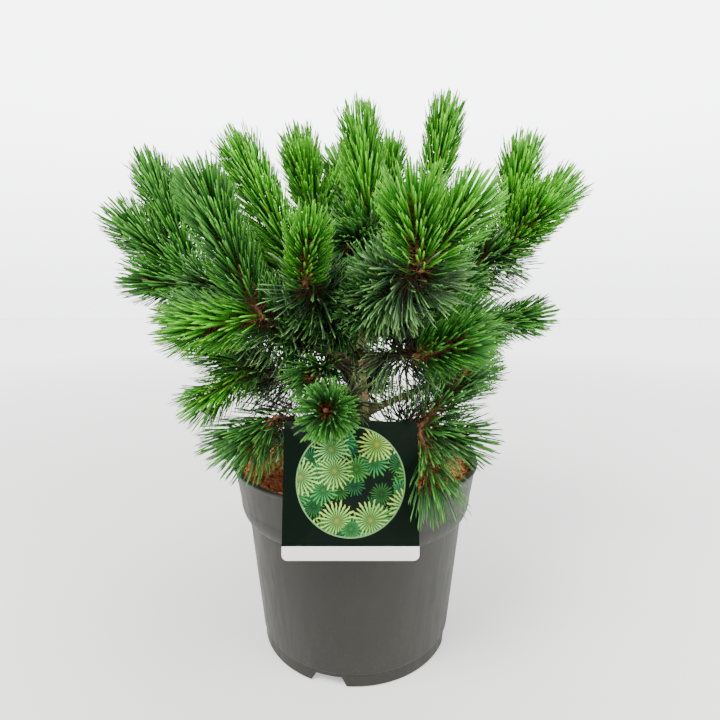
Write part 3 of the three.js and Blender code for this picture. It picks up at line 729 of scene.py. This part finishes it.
dealt = {kind: [] for kind in KINDS}
for limb in limbs:
    line, number, high = limb["line"], limb["number"], limb["whorl"][2] > LEVEL["high"]
    slim = 1.0 if high else 0.88
    bare = limb["joint"] + 6 / line["length"]
    if limb["name"] in ("low_front", "mid_front"):
        bare = 0.72
    if high:
        bare = max(0.25, bare - 36 / line["length"])
    dealt["old"].append(sprig(line, number, OLD, PER_MM["old_high" if high else "old_low"],
                              bare, 2.9, 1.0, 0.9 * slim))
    for place, shoot in enumerate(limb["shoots"]):
        kind = kind_of(limb["name"], place, shoot)
        height = shoot["points"][-1, 2]
        shade = height < LEVEL["shade"]
        vigour = min(1.0, 0.8 + 0.0022 * shoot["length"])
        vigour *= WEAK.get((limb["name"], place), 1.12 if shade else 1)
        closeness = "hanging" if height < LEVEL["hanging"] else "shade" if shade else "light"
        opening = 1 - 0.25 * np.clip((height - LEVEL["top"]) / 100, 0, 1)
        dealt[kind].append(sprig(shoot, number, SHADE if shade else YOUNG, PER_MM[closeness],
                                 0.02, 2.0, vigour, slim, opening))
    for shoot in limb["side"]:
        # Side shoots stand inside the crown, so most get the deep green: painted shade.
        kind = "green" if chances.random() < 0.35 else "deep"
        dealt[kind].append(sprig(shoot, number, SHADE, PER_MM["side"], 0.12, 1.5, 0.9, 0.95 * slim))
print("sprays:", {kind: len(sprigs) for kind, sprigs in dealt.items()})

# %% Turn the sprays into blades
BLADE = dict(young=(0.82, np.radians(25), 8), old=(0.95, np.radians(38), 18))
MOST_TRIANGLES = 190000

total = 0
for kind, sprigs in dealt.items():
    points, faces, uv, kept = blades(sprigs, *BLADE["old" if kind == "old" else "young"])
    count = len(faces) // 16
    batches = int(np.ceil(len(faces) / MOST_TRIANGLES))
    cuts = np.linspace(0, count, batches + 1).astype(int)
    for batch, (low, high) in enumerate(zip(cuts, cuts[1:]), 1):
        name = f"needles_{kind}" + (f"_{batch}" if batches > 1 else "")
        put_in(name, points[10 * low:10 * high], [faces[16 * low:16 * high] - 10 * low],
               KINDS[kind], foliage_nodes, uv[10 * low:10 * high])
    total += count
    print(f"{kind}: {len(sprigs)} sprays, {kept:.0%} of the needles had room")
print("needles in all:", total)

# %% [markdown]
# ## Bark
#
# Young pine bark breaks into small scales with dark cracks between them, and where needles have
# dropped it keeps the low pads that carried them. Both are made as real relief. The trunk's skin is
# a grid round and along its line, and its height comes from scattered cell middles: a point lies
# high where its nearest middle is much nearer than the next one, and in a crack where the two are
# alike. On the boughs the cells are smaller and lie in the spiral of the old needles.

# %% Relief of scales
def scales(around, along, columns, rows, seed):
    """Cracked plates over a wrapped grid: the distance to the second nearest cell middle, less the
    distance to the nearest one. around and along run from 0 to 1."""
    dice = np.random.default_rng(seed)
    shift = dice.uniform(0.15, 0.85, (rows + 2, columns, 2))
    x, y = around * columns, along * rows
    best = np.full(x.shape, 9.0)
    second = np.full(x.shape, 9.0)
    for dy in (-1, 0, 1):
        for dx in (-1, 0, 1):
            cell_x, cell_y = np.floor(x) + dx, np.floor(y) + dy
            middle = shift[(cell_y % (rows + 2)).astype(int), (cell_x % columns).astype(int)]
            away = np.hypot(x - cell_x - middle[..., 0], y - cell_y - middle[..., 1])
            second = np.minimum(second, np.maximum(best, away))
            best = np.minimum(best, away)
    return second - best


def skin(line, start, end, radius_at, rows, columns, relief):
    """A tube of points round a line: radius_at(share) plus relief(around, share), with both ends
    drawn in to a point so that they are closed."""
    share = np.linspace(start, end, rows)[:, None]
    around = np.arange(columns)[None, :] / columns
    around, share = np.broadcast_arrays(around, share)
    centre, along, under, beside = frame_at(line, share)
    out = (beside * np.sin(2 * np.pi * around)[..., None]
           + under * np.cos(2 * np.pi * around)[..., None])
    radius = radius_at(share) + relief(around, share)
    points = (centre + out * radius[..., None]).reshape(-1, 3)
    uv = np.stack([around, share * line["length"] / 100], axis=-1).reshape(-1, 2)
    points, faces = with_ends(points, rows, columns)
    return points, *faces, np.concatenate([uv, uv[[0, -1]]])


def gather(skins):
    """Join tubes into one set of points, faces and UVs, renumbering the faces as they go in."""
    offsets = np.cumsum([0] + [len(one[0]) for one in skins[:-1]])
    return (np.concatenate([one[0] for one in skins]),
            [np.concatenate([one[1] + shift for one, shift in zip(skins, offsets)]),
             np.concatenate([one[2] + shift for one, shift in zip(skins, offsets)])],
            np.concatenate([one[3] for one in skins]))


def put_tubes(name, skins, finish, stands_for):
    """One object from many tubes."""
    points, faces, uv = gather(skins)
    put_in(name, points, faces, finish, stands_for, uv)


ring = np.arange(40) / 40
print("highest point on a ring of scales:",
      round(float(scales(ring, 0.5 + 0 * ring, 9, 34, 3).max()), 2))

# %% [markdown]
# ## The colour of bark
#
# Bark is dark in its cracks and worn pale on the edges of its scales. A picture of bark would not
# follow the relief, so the colour comes from noise drawn out up the trunk, and Pointiness, which is
# low in a hollow and high on an edge, darkens the one and lifts the other.

# %% Bark finish
def bark_finish(name, dark, body, pale, size, rough=0.88):
    """Three colours by broad noise, times fine noise, times the hollows and edges of the mesh."""
    one = Finish(name)
    where = one.place.outputs["Object"]
    streak = one.add("ShaderNodeMapping", {"Vector": where, "Scale": (1.0, 1.0, 0.35)})
    streak = streak.outputs["Vector"]
    broad = one.noise(streak, size, 5)
    fine = one.noise(streak, size * 5, 4, 0.7)
    colour = one.ramp(broad, [(0.3, dark), (0.5, body), (0.72, pale)])
    crumbs = one.ramp(fine, [(0.25, grey(0.6)), (0.6, grey(1.2))])
    colour = one.mix(1.0, colour, crumbs, "MULTIPLY")
    edge = one.add("ShaderNodeNewGeometry").outputs["Pointiness"]
    wear = one.ramp(edge, [(0.44, grey(0.4)), (0.5, grey(1.0)), (0.58, grey(1.3))])
    colour = one.mix(1.0, colour, wear, "MULTIPLY")
    return one.end(Base_Color=colour, Roughness=rough, Normal=one.bump(fine, 0.0006, 0.8))


# The trunk's bark is lightened past its own olive tan as painted light, where the crown shades it;
# the boughs' and last year's stems' barks are darkened as painted shade under the needles.
BARK = bark_finish("pine_bark", (0.05, 0.038, 0.018), (0.27, 0.21, 0.105), (0.62, 0.52, 0.31), 55)
SHADED_BOUGH_BARK = bark_finish("bough_bark_painted_shade", (0.028, 0.02, 0.012), (0.1, 0.07, 0.04),
                         (0.24, 0.18, 0.105), 80)
SHADED_STEM_BARK = bark_finish("stem_bark_painted_shade", (0.025, 0.015, 0.008), (0.066, 0.039, 0.019),
                        (0.14, 0.09, 0.047), 110)
SHOOT_SKIN = bark_finish("shoot_skin", (0.075, 0.03, 0.012), (0.2, 0.09, 0.034),
                         (0.37, 0.205, 0.085), 220, 0.7)
print("bark finishes:", [one.name for one in (BARK, SHADED_BOUGH_BARK, SHADED_STEM_BARK, SHOOT_SKIN)])

# %% [markdown]
# ## Trunk and boughs
#
# The trunk carries two sizes of scales, broad plates with smaller flakes on them. A bough thins by
# a quarter on its way out and swells where it leaves the trunk. Trunk and boughs are two pieces
# with two barks: the trunk's is paler, partly its own colour and partly painted light, and the
# boughs' is darker, as painted shade under the crown.

# %% Grow the bark
def trunk_relief(around, share):
    """Broad plates 9 round and 34 up, and flakes 26 round and 110 up, each cut off level on top."""
    plates = np.minimum(scales(around, share, 9, 34, 3), 0.55)
    return 2.0 * plates - 0.6 + 0.5 * np.minimum(scales(around, share, 26, 110, 4), 0.4)


def bough_skin(limb):
    """One bough up to last year's stem: five plates round it, one for each 7 mm of its length."""
    thick, joint, long = limb["thick"], limb["joint"], limb["line"]["length"]
    grain = max(6, int(joint * long / 7))

    def radius_at(share):
        """Thinner by a quarter at the joint, with a soft swelling 12 mm from the trunk's middle."""
        return (thick * (1 - 0.25 * share / joint)
                + 2.2 * np.exp(-((share * long - 12) / 9) ** 2))

    def relief(around, share):
        """Plates cut off level on top."""
        return 0.9 * np.minimum(scales(around, share / joint, 5, grain, limb["number"]), 0.6) - 0.3

    return skin(limb["line"], 0.0, joint + 0.02, radius_at, max(16, int(joint * long / 2.4)), 16,
                relief)


put_tubes("trunk_bark", [skin(trunk, 0, 1, trunk_radius, 320, 84, trunk_relief)], BARK, ["trunk"])
put_tubes("bough_bark_painted_shade", [bough_skin(limb) for limb in limbs if limb["rooted"]], SHADED_BOUGH_BARK,
          [name for name in nodes if name.startswith("bough_")])

# %% [markdown]
# ## Stems, shoots and buds
#
# Last year's stem is knobbly with the pads of its needles, this year's shoots are smooth and
# orange-brown, and each shoot ends in a blunt bud of papery scales. Most of it lies behind the
# needles, but it is what the eye finds between them, and it gives the brushes their warm hearts.

# %% Grow stems, shoots and buds
def pads(around, share, long):
    """Pads in two crossing spirals: high where both waves are high."""
    turns = share * long / 3.4
    return 0.55 * np.maximum(0, np.cos(2 * np.pi * (3 * around + turns))
                             * np.cos(2 * np.pi * (2 * around - turns)))


stems, shoots, buds = [], [], []
for limb in limbs:
    long = limb["line"]["length"]
    stems.append(skin(limb["line"], limb["joint"], 1.0, lambda share: 3.7 - 1.1 * share, 40, 14,
                      lambda around, share: pads(around, share, long)))
    for shoot in limb["side"]:
        shoots.append(skin(shoot, 0.0, 1.0, lambda share: 1.6 - 1.2 * share ** 3, 12, 7,
                           lambda around, share: 0 * share))
    for shoot in limb["shoots"]:
        shoots.append(skin(shoot, 0.0, 1.0, lambda share: 2.2 - 0.4 * share, 34, 12,
                           lambda around, share: 1.2 * pads(around, share, shoot["length"])))
        tip, way = shoot["points"][-1], shoot["way"][-1]
        buds.append(skin(line_of(tip + way * np.linspace(-2, 8, 12)[:, None]), 0, 1,
                         lambda share: 2.3 * (1 - share ** 2.2) ** 0.7 + 0.05, 22, 14,
                         lambda around, share: 0.3 * pads(around, share, 11)))
# Last year's stems get the darkened stem bark: painted shade among the needles.
put_tubes("stems", stems, SHADED_STEM_BARK, foliage_nodes)
put_tubes("shoots", shoots, SHOOT_SKIN, foliage_nodes)
BUD_SCALES = bark_finish("bud_scales", (0.07, 0.022, 0.01), (0.17, 0.055, 0.024),
                         (0.33, 0.14, 0.065), 320, 0.5)
put_tubes("buds", buds, BUD_SCALES, foliage_nodes)

# %% [markdown]
# ## The pot
#
# A nursery pot is blown or moulded in one go: a wall two millimetres thick that widens in two
# steps, a rounded collar the rim of a stacked pot rests on, a foot ring with drainage notches, and
# a small roll at the lip. It is one profile carried round the axis. The corners of the profile are
# rounded first, because a moulded edge always catches a line of light, and the notches lift the
# lowest points of the wall at four bearings.

# %% Profile of the pot
def rounded(profile, radius, steps=5):
    """A profile with each inner corner replaced by a bend: from a point before the corner to one
    after it, through the corner's own pull."""
    path = [profile[0]]
    for before, corner, after in zip(profile, profile[1:], profile[2:]):
        before, corner, after = map(np.array, (before, corner, after))
        back, on = before - corner, after - corner
        reach = min(radius, 0.45 * np.linalg.norm(back), 0.45 * np.linalg.norm(on))
        start = corner + back / np.linalg.norm(back) * reach
        end = corner + on / np.linalg.norm(on) * reach
        path += [(1 - t) ** 2 * start + 2 * t * (1 - t) * corner + t ** 2 * end
                 for t in np.linspace(0, 1, steps)]
    return np.array([*path, profile[-1]])


outside = [(POT["base"] - 2, 0), (POT["base"], 0), (POT["base"], POT["foot"]),
           (POT["base"] + POT["step"], POT["foot"] + 0.8), (POT["waist"], POT["waist_height"])]
turn = np.linspace(0, 1, 9)[1:] * np.pi / 2
outside += [(POT["waist"] + (POT["collar"] - POT["waist"]) * np.sin(a),
             POT["waist_height"] + POT["shoulder"] * (1 - np.cos(a))) for a in turn]
outside += [(POT["rim"], POT["height"] - 4), (POT["rim"] + POT["lip"], POT["height"] - 3.2),
            (POT["rim"] + POT["lip"], POT["height"]), (POT["rim"] - POT["wall"], POT["height"]),
            (POT["collar"] - POT["wall"], POT["waist_height"] + POT["shoulder"])]
outside += [(112, 148), (60, 148), (30, 148)]  # closed under the mulch, where nothing shows
under = POT["base"] - DRAIN["depth"]
underside = np.array([(40, 0), (under, 0), (under + 0.01, 0)])
profile = np.concatenate([underside, rounded(outside, 1.1)])
print("profile:", len(profile), "points,", round(float(profile[:, 0].max()), 1), "mm at its widest")

# %% Turn the pot
SPACING = 360 / DRAIN["count"]


def notch_height(bearing):
    """The drainage opening over each bearing (degrees): a low arch with slanting sides, which
    spreads as it nears the ground. The height falls to nothing between the top and floor widths."""
    nearest = (bearing - DRAIN["first"] + SPACING / 2) % SPACING - SPACING / 2
    across = np.abs(np.sin(np.radians(nearest))) * POT["base"]
    top, floor = DRAIN["top"] / 2, DRAIN["floor"] / 2
    return DRAIN["height"] * np.clip((floor - across) / (floor - top), 0, 1)


edges = [DRAIN["first"] + SPACING * k + side * np.degrees(width / 2 / POT["base"])
         for k in range(DRAIN["count"]) for side in (-1, 1)
         for width in (DRAIN["floor"], DRAIN["top"])]
bearings = np.union1d(np.arange(0, 360, 1.5), np.mod(edges, 360))


def notched_heights(profile, bearings):
    """The profile's heights at each bearing. Over a notch the points of the foot squeeze up between
    the notch's top and the foot ring's upper edge; the first two points stay on the floor."""
    notch, level = notch_height(bearings)[None, :], profile[:, 1:]
    foot = (level < POT["foot"] - 1) & (np.arange(len(profile)) >= 2)[:, None]
    return np.where(foot, notch + level * (1 - notch / POT["foot"]), level)


b = np.radians(bearings)
points = np.stack([profile[:, :1] * np.sin(b), -profile[:, :1] * np.cos(b),
                   notched_heights(profile, bearings)], axis=-1)
points, faces = with_ends(points.reshape(-1, 3), len(profile), len(b))
print("columns round the pot:", len(bearings))

# %% [markdown]
# ## The pot's plastic
#
# The plastic is a dark olive grey with a satin sheen, so most of its paleness is reflected light.
# Handling leaves dusty scuffs drawn out up the wall, and potting leaves specks of soil, most of
# them low down. The colours differ little, so the roughness, which the scuffs change too, does the
# rest.

# %% Pot finish
pot_plastic = Finish("pot_plastic")
where = pot_plastic.place.outputs["Object"]
drag = pot_plastic.add("ShaderNodeMapping", {"Vector": where, "Scale": (1, 1, 0.12)})
cloud = pot_plastic.noise(where, 9, 4, 0.6)
scuff = pot_plastic.noise(drag.outputs["Vector"], 120, 6, 0.75)
speck = pot_plastic.noise(where, 420, 2)
height = pot_plastic.add("ShaderNodeSeparateXYZ", {"Vector": where}).outputs["Z"]
colour = pot_plastic.ramp(cloud, [(0.3, (0.012, 0.0124, 0.0087)), (0.55, (0.015, 0.0155, 0.0109)),
                                  (0.75, (0.019, 0.0195, 0.0138))])
dust = pot_plastic.ramp(scuff, [(0.6, grey(0.0)), (0.88, grey(0.18))])
colour = pot_plastic.mix(dust, colour, (0.14, 0.135, 0.105, 1))
specks = pot_plastic.ramp(speck, [(0.62, grey(0)), (0.7, grey(0.6))])
low_down = pot_plastic.ramp(height, [(0.0, grey(1.0)), (0.05, grey(0.35)), (0.12, grey(0.08))])
soil_marks = pot_plastic.maths("MULTIPLY", specks, low_down)
colour = pot_plastic.mix(soil_marks, colour, (0.07, 0.045, 0.03, 1))
gloss = pot_plastic.ramp(scuff, [(0.3, grey(0.3)), (0.7, grey(0.5))])
grain = pot_plastic.noise(where, 900, 2)
POT_PLASTIC = pot_plastic.end(Base_Color=colour, Roughness=gloss, Specular_IOR_Level=0.42,
                              Normal=pot_plastic.bump(grain, 0.0002, 0.35))
put_in("nursery_pot", points, faces, POT_PLASTIC, ["pot"], sharp=38)

# %% [markdown]
# ## The mulch
#
# The pot is topped with chipped pine bark. A chip is a flat, broken shard: a six-cornered slab with
# a slanting edge. Over four thousand of them lie on a low mound of finer crumbs, tilted every way
# but mostly flat, in three colours, because bark is red-brown outside, tan where it is freshly
# broken and almost black where it is wet.

# %% Mound
def waves(x, y, seed, size, count=40):
    """A soft random height: the mean of plane waves of about one size in random directions."""
    dice = np.random.default_rng(seed)
    way = dice.uniform(0, 2 * np.pi, count)
    pitch = 2 * np.pi / (size * dice.uniform(0.6, 1.6, count))
    late = dice.uniform(0, 2 * np.pi, count)
    return np.sin(x[..., None] * np.cos(way) * pitch + y[..., None] * np.sin(way) * pitch
                  + late).sum(axis=-1) / np.sqrt(count)


def mound_height(x, y):
    """The packed dome: level in the middle, falling to the edge, with crumbs of two sizes."""
    share = np.clip((np.hypot(x, y) - 30) / 95, 0, 1)
    return (SOIL["ground"] - 7 * share ** 1.4 - 1.6 + 0.8 * waves(x, y, 5, 22)
            + 0.45 * waves(x, y, 6, 6))


rings, sectors = np.linspace(0.5, 124.2, 90), 220
angle = 2 * np.pi * np.arange(sectors) / sectors
x, y = rings[:, None] * np.cos(angle), rings[:, None] * np.sin(angle)
top = np.stack([x, y, mound_height(x, y)], axis=-1).reshape(-1, 3)
skirt = np.stack([122 * np.cos(angle), 122 * np.sin(angle), np.full(sectors, 172.0)], axis=-1)
points, faces = with_ends(np.concatenate([top, skirt]), len(rings) + 1, sectors)
faces = [rows[:, ::-1] for rows in faces]
mound = bark_finish("mulch_crumbs", (0.2, 0.055, 0.02), (0.5, 0.165, 0.062),
                    (0.75, 0.32, 0.145), 130, 0.95)
put_in("mulch_mound", points, faces, mound, ["root_ball"])

# %% Chips
def chips(count, long, seed):
    """Slabs of six corners with jittered outlines: each corner at its own angle and distance, the
    upper outline drawn in a little, the whole turned by a small tilt and a full random bearing."""
    dice = np.random.default_rng(seed)
    reach = 121 * np.sqrt(dice.uniform(0.02, 1, count))
    place = dice.uniform(0, 2 * np.pi, count)
    x, y = reach * np.cos(place), reach * np.sin(place)
    size = dice.uniform(0.45, 1.0, count) * long
    broad = size * dice.uniform(0.22, 0.5, count)
    thick = size * dice.uniform(0.1, 0.2, count)
    corner = (np.arange(6) + dice.uniform(-0.3, 0.3, (count, 6))) * np.pi / 3
    far = dice.uniform(0.75, 1.05, (count, 6))
    outline = np.stack([size[:, None] * far * np.cos(corner) / 2,
                        broad[:, None] * far * np.sin(corner) / 2], axis=-1)
    half = thick[:, None, None] / 2
    lower = np.concatenate([outline, -half * np.ones((count, 6, 1))], axis=-1)
    upper = np.concatenate([outline * dice.uniform(0.7, 0.95, (count, 1, 1)),
                            half * dice.uniform(0.7, 1.3, (count, 6, 1))], axis=-1)
    slab = np.concatenate([lower, upper], axis=1)
    tilt, roll = dice.normal(0, 0.28, (2, count))
    bearing = dice.uniform(0, 2 * np.pi, count)

    def turn(slab, angle, first, second):
        """Each slab turned by its angle from the first axis towards the second."""
        c, s = np.cos(angle)[:, None], np.sin(angle)[:, None]
        turned_slab = slab.copy()
        turned_slab[..., first] = c * slab[..., first] - s * slab[..., second]
        turned_slab[..., second] = s * slab[..., first] + c * slab[..., second]
        return turned_slab

    slab = turn(turn(turn(slab, tilt, 0, 2), roll, 1, 2), bearing, 0, 1)
    lie = mound_height(x, y) + thick * 0.4 + dice.uniform(0, 2.2, count)
    slab += np.stack([x, y, lie], axis=-1)[:, None]
    low = slab[..., 2].min(axis=1)
    outer = np.hypot(slab[..., 0], slab[..., 1]).max(axis=1)
    inner = np.hypot(slab[..., 0] - 7, slab[..., 1]).min(axis=1)
    top = slab[..., 2].max(axis=1)
    slab = slab[(outer < 124.2) & (inner > 16.5) & (low > 178) & (top < 197)]
    count = len(slab)
    walls = np.array([(k, (k + 1) % 6, (k + 1) % 6 + 6, k + 6) for k in range(6)])
    lids = np.array([(5, 4, 3, 2, 1, 0), (6, 7, 8, 9, 10, 11)])
    step = 12 * np.arange(count)[:, None, None]
    uv = np.stack([np.tile(np.linspace(0, 1, 12), count),
                   np.repeat(dice.random(count), 12)], axis=-1)
    return slab.reshape(-1, 3), [(walls + step).reshape(-1, 4), (lids + step).reshape(-1, 6)], uv


def chip_finish(name, dark, body, pale):
    """Three colours by fine noise, times a tone for each chip."""
    one = Finish(name)
    where = one.place.outputs["Object"]
    fine = one.noise(where, 260, 5, 0.7)
    parts = one.add("ShaderNodeSeparateXYZ", {"Vector": one.place.outputs["UV"]})
    colour = one.ramp(fine, [(0.3, dark), (0.52, body), (0.75, pale)])
    tone = one.ramp(parts.outputs["Y"], [(0.0, grey(0.65)), (0.5, grey(1.05)), (1.0, grey(1.5))])
    colour = one.mix(1.0, colour, tone, "MULTIPLY")
    return one.end(Base_Color=colour, Roughness=0.85, Normal=one.bump(fine, 0.0008, 0.7))


for name, count, long, seed, tones in (
        ("chips_red", 2900, 15, 21,
         ((0.45, 0.12, 0.042), (0.84, 0.255, 0.088), (0.97, 0.47, 0.22))),
        ("chips_tan", 1100, 13, 22,
         ((0.45, 0.2, 0.085), (0.76, 0.38, 0.18), (0.92, 0.58, 0.33))),
        ("chips_dark", 500, 13, 23,
         ((0.12, 0.04, 0.02), (0.32, 0.115, 0.05), (0.46, 0.2, 0.1)))):
    points, faces, uv = chips(count, long, seed)
    put_in(name, points, faces, chip_finish(name, *tones), ["root_ball"], uv,
           sharp=25)

# %% [markdown]
# ## The plant label
#
# The label is a thin card that leans over the rim, on a stake pushed down inside the wall. Each is
# one rounded outline with a small bevel all round, so that its edge catches the light.

# %% Card
def card_outline(width, height, corner, steps=7):
    """A rounded rectangle, corner by corner, its foot in the middle of the lower edge."""
    quarter = np.linspace(0, np.pi / 2, steps)
    side, top = width / 2 - corner, height - corner
    corners = [(side, corner, -np.pi / 2), (side, top, 0), (-side, top, np.pi / 2),
               (-side, corner, np.pi)]
    return np.concatenate([np.stack([x + corner * np.cos(quarter + late),
                                     y + corner * np.sin(quarter + late)], axis=-1)
                           for x, y, late in corners])


def bevelled(width, height, corner, edge):
    """The outline once for each (inset, depth) of the edge, shrunk by the inset to its middle."""
    outline, middle = card_outline(width, height, corner), np.array([0, height / 2])
    rows = [np.concatenate([middle + (outline - middle) * (1 - inset / (width / 2)),
                            np.full((len(outline), 1), depth)], axis=1) for inset, depth in edge]
    return with_ends(np.concatenate(rows), len(rows), len(outline))


flat, faces = bevelled(CARD["width"], CARD["height"], CARD["corner"],
                       ((0.25, 0.0), (0.0, 0.2), (0.0, 0.7), (0.25, 0.9)))
lean = np.radians(CARD["lean"])
foot_back = (-(POT["rim"] + POT["lip"]) - 0.5
             + (CARD["bottom"] - POT["height"] + 1.5) * np.tan(lean))
points = np.stack([CARD["sideways"] + flat[:, 0],
                   foot_back + flat[:, 1] * np.sin(lean) - flat[:, 2] * np.cos(lean),
                   CARD["bottom"] + flat[:, 1] * np.cos(lean) + flat[:, 2] * np.sin(lean)], axis=-1)
uv = np.stack([flat[:, 0] / CARD["width"] + 0.5, flat[:, 1] / CARD["height"]], axis=-1)
print("top of the card:", round(float(points[:, 2].max()), 1), "mm")

# %% [markdown]
# ## The print
#
# The print is generic and has no words: a dark green ground, a round window with rosettes of
# needles, a thin ring round it, and a pale strip below. It is drawn by the shader from the UV map.
# A rosette is one cell of a Voronoi pattern, cut off by a wave round its middle; three layers of
# them, small and dark to large and bright, give the window its depth.

# %% Print
ink = Finish("label_print")
where = ink.place.outputs["UV"]
parts = ink.add("ShaderNodeSeparateXYZ", {"Vector": where})
u, v = parts.outputs["X"], parts.outputs["Y"]
wobble = ink.noise(where, 40, 2)


def rosettes(scale, spokes, dim, lit, below):
    """Stars of needles over the colours below: each cell's colour shows where the distance to its
    middle is less than 0.42 and two waves round it, one with a spoke for each needle."""
    cells = ink.add("ShaderNodeTexVoronoi", {"Vector": where, "Scale": scale, "Randomness": 0.9},
                    voronoi_dimensions="2D")
    away, tint = cells.outputs["Distance"], cells.outputs["Color"]
    offset = ink.add("ShaderNodeVectorMath", {0: where, 1: cells.outputs["Position"]},
                     operation="SUBTRACT").outputs[0]
    offset = ink.add("ShaderNodeSeparateXYZ", {"Vector": offset})
    angle = ink.maths("ARCTAN2", offset.outputs["Y"], offset.outputs["X"])
    turns = ink.maths("MULTIPLY_ADD", angle, spokes, ink.maths("MULTIPLY", wobble, 4.0))
    wave = ink.maths("SINE", turns)
    uneven = ink.maths("SINE", ink.maths("MULTIPLY", angle, spokes - 8.0))
    reach = ink.maths("MULTIPLY_ADD", wave, 0.13, ink.maths("MULTIPLY_ADD", uneven, 0.05, 0.42))
    star = ink.maths("LESS_THAN", away, reach)
    lot = ink.add("ShaderNodeSeparateColor", {"Color": tint}).outputs["Red"]
    chosen = ink.maths("MULTIPLY", star, ink.maths("LESS_THAN", lot, 0.9))
    needle = ink.ramp(wave, [(0.0, dim), (0.9, lit)])
    heart = ink.ramp(away, [(0.0, (1.6, 0.9, 0.7)), (0.1, (0.55, 0.5, 0.5)), (0.26, grey(0.9)),
                            (0.5, (1.5, 1.2, 0.9))])
    hue = ink.ramp(lot, [(0.0, (0.7, 1.0, 1.5)), (0.45, grey(1.0)), (0.9, (1.7, 1.15, 0.6))])
    needle = ink.mix(1.0, ink.mix(1.0, needle, heart, "MULTIPLY"), hue, "MULTIPLY")
    return ink.mix(chosen, below, needle)


window = (0.003, 0.010, 0.006, 1)
for scale, spokes, dim, lit in ((6.5, 21.0, (0.006, 0.05, 0.02), (0.02, 0.13, 0.045)),
                                (5.0, 19.0, (0.012, 0.10, 0.035), (0.05, 0.28, 0.08)),
                                (3.9, 23.0, (0.02, 0.17, 0.045), (0.30, 0.55, 0.16))):
    window = rosettes(scale, spokes, dim, lit, window)
print("nodes in the print so far:", len(ink.tree.nodes))

# %% Window, ring and strip
du, dv = ink.maths("SUBTRACT", u, 0.5), ink.maths("SUBTRACT", v, 0.56)
away = ink.maths("SQRT", ink.maths("MULTIPLY_ADD", du, du, ink.maths("MULTIPLY", dv, dv)))
ground = (0.0012, 0.006, 0.003, 1)
colour = ink.mix(ink.maths("LESS_THAN", away, 0.395), ground, window)
off_ring = ink.maths("ABSOLUTE", ink.maths("SUBTRACT", away, 0.4))
colour = ink.mix(ink.maths("LESS_THAN", off_ring, 0.005), colour, (0.16, 0.30, 0.12, 1))
colour = ink.mix(ink.maths("LESS_THAN", v, 0.1), colour, (0.95, 0.95, 0.92, 1))
LABEL_PRINT = ink.end(Base_Color=colour, Roughness=0.5, Specular_IOR_Level=0.07,
                      Normal=ink.bump(ink.noise(where, 5), 0.0012, 0.3))
put_in("label_card", points, faces, LABEL_PRINT, ["plant_label"], uv, sharp=50)

# %% [markdown]
# ## The stake
#
# The stake is a flat strip of plain green plastic behind the card. It ends hidden in the mulch, so
# it needs no point, and its finish is only a faint streak of two greens.

# %% Stake
STAKE = dict(width=16, bottom=162, top=236, corner=3, back=-118.4)
flat, faces = bevelled(STAKE["width"], STAKE["top"] - STAKE["bottom"], STAKE["corner"],
                       ((0.2, 0.0), (0.0, 0.2), (0.0, 1.0), (0.2, 1.2)))
points = np.stack([CARD["sideways"] + flat[:, 0], STAKE["back"] - flat[:, 2],
                   STAKE["bottom"] + flat[:, 1]], axis=-1)
stake_plastic = Finish("stake_plastic")
streaks = stake_plastic.noise(stake_plastic.place.outputs["Object"], 40, 4)
greens = stake_plastic.ramp(streaks, [(0.3, (0.03, 0.09, 0.05)), (0.7, (0.06, 0.15, 0.09))])
put_in("label_stake", points, faces, stake_plastic.end(Base_Color=greens, Roughness=0.4),
       ["plant_label"], sharp=50)

# %% [markdown]
# ## The floor
#
# The floor is a plain pale sheet under the pot, wide enough to fill the view. Like the backdrop it
# glows for the camera only, more so the further it is from the pot, which keeps it pale without
# lighting the plant. It isn't part of the plant, so it isn't attached to the plant's body.
# The glow is weakest next to the pot, which darkens the floor round its foot: a painted shadow over
# the real one.

# %% Floor and finish
floor_mesh = bpy.data.meshes.new("studio_floor")
floor_mesh.from_pydata([(-6, -6, -0.001), (6, -6, -0.001), (6, 6, -0.001), (-6, 6, -0.001)], [],
                       [(0, 1, 2, 3)])
floor = bpy.data.objects.new("studio_floor", floor_mesh)
bpy.context.collection.objects.link(floor)
pale = Finish("studio_floor")
spot = pale.place.outputs["Object"]
away = pale.add("ShaderNodeVectorMath", {0: spot}, operation="LENGTH").outputs["Value"]
direct = pale.add("ShaderNodeLightPath").outputs["Is Camera Ray"]
# Painted shadow: the glow is low near the pot, so the floor stays dark round its foot.
glow = pale.ramp(pale.maths("MULTIPLY", away, 0.25), [(0.05, grey(0.16)), (0.7, grey(1.0))])
glow = pale.mix(direct, (0, 0, 0, 1), glow)
pale.end(Base_Color=pale.ramp(pale.noise(spot, 3, 2), [(0.3, grey(0.86)), (0.7, grey(0.89))]),
         Roughness=0.8, Emission_Color=glow, Emission_Strength=3.4)
floor_mesh.materials.append(pale.material)
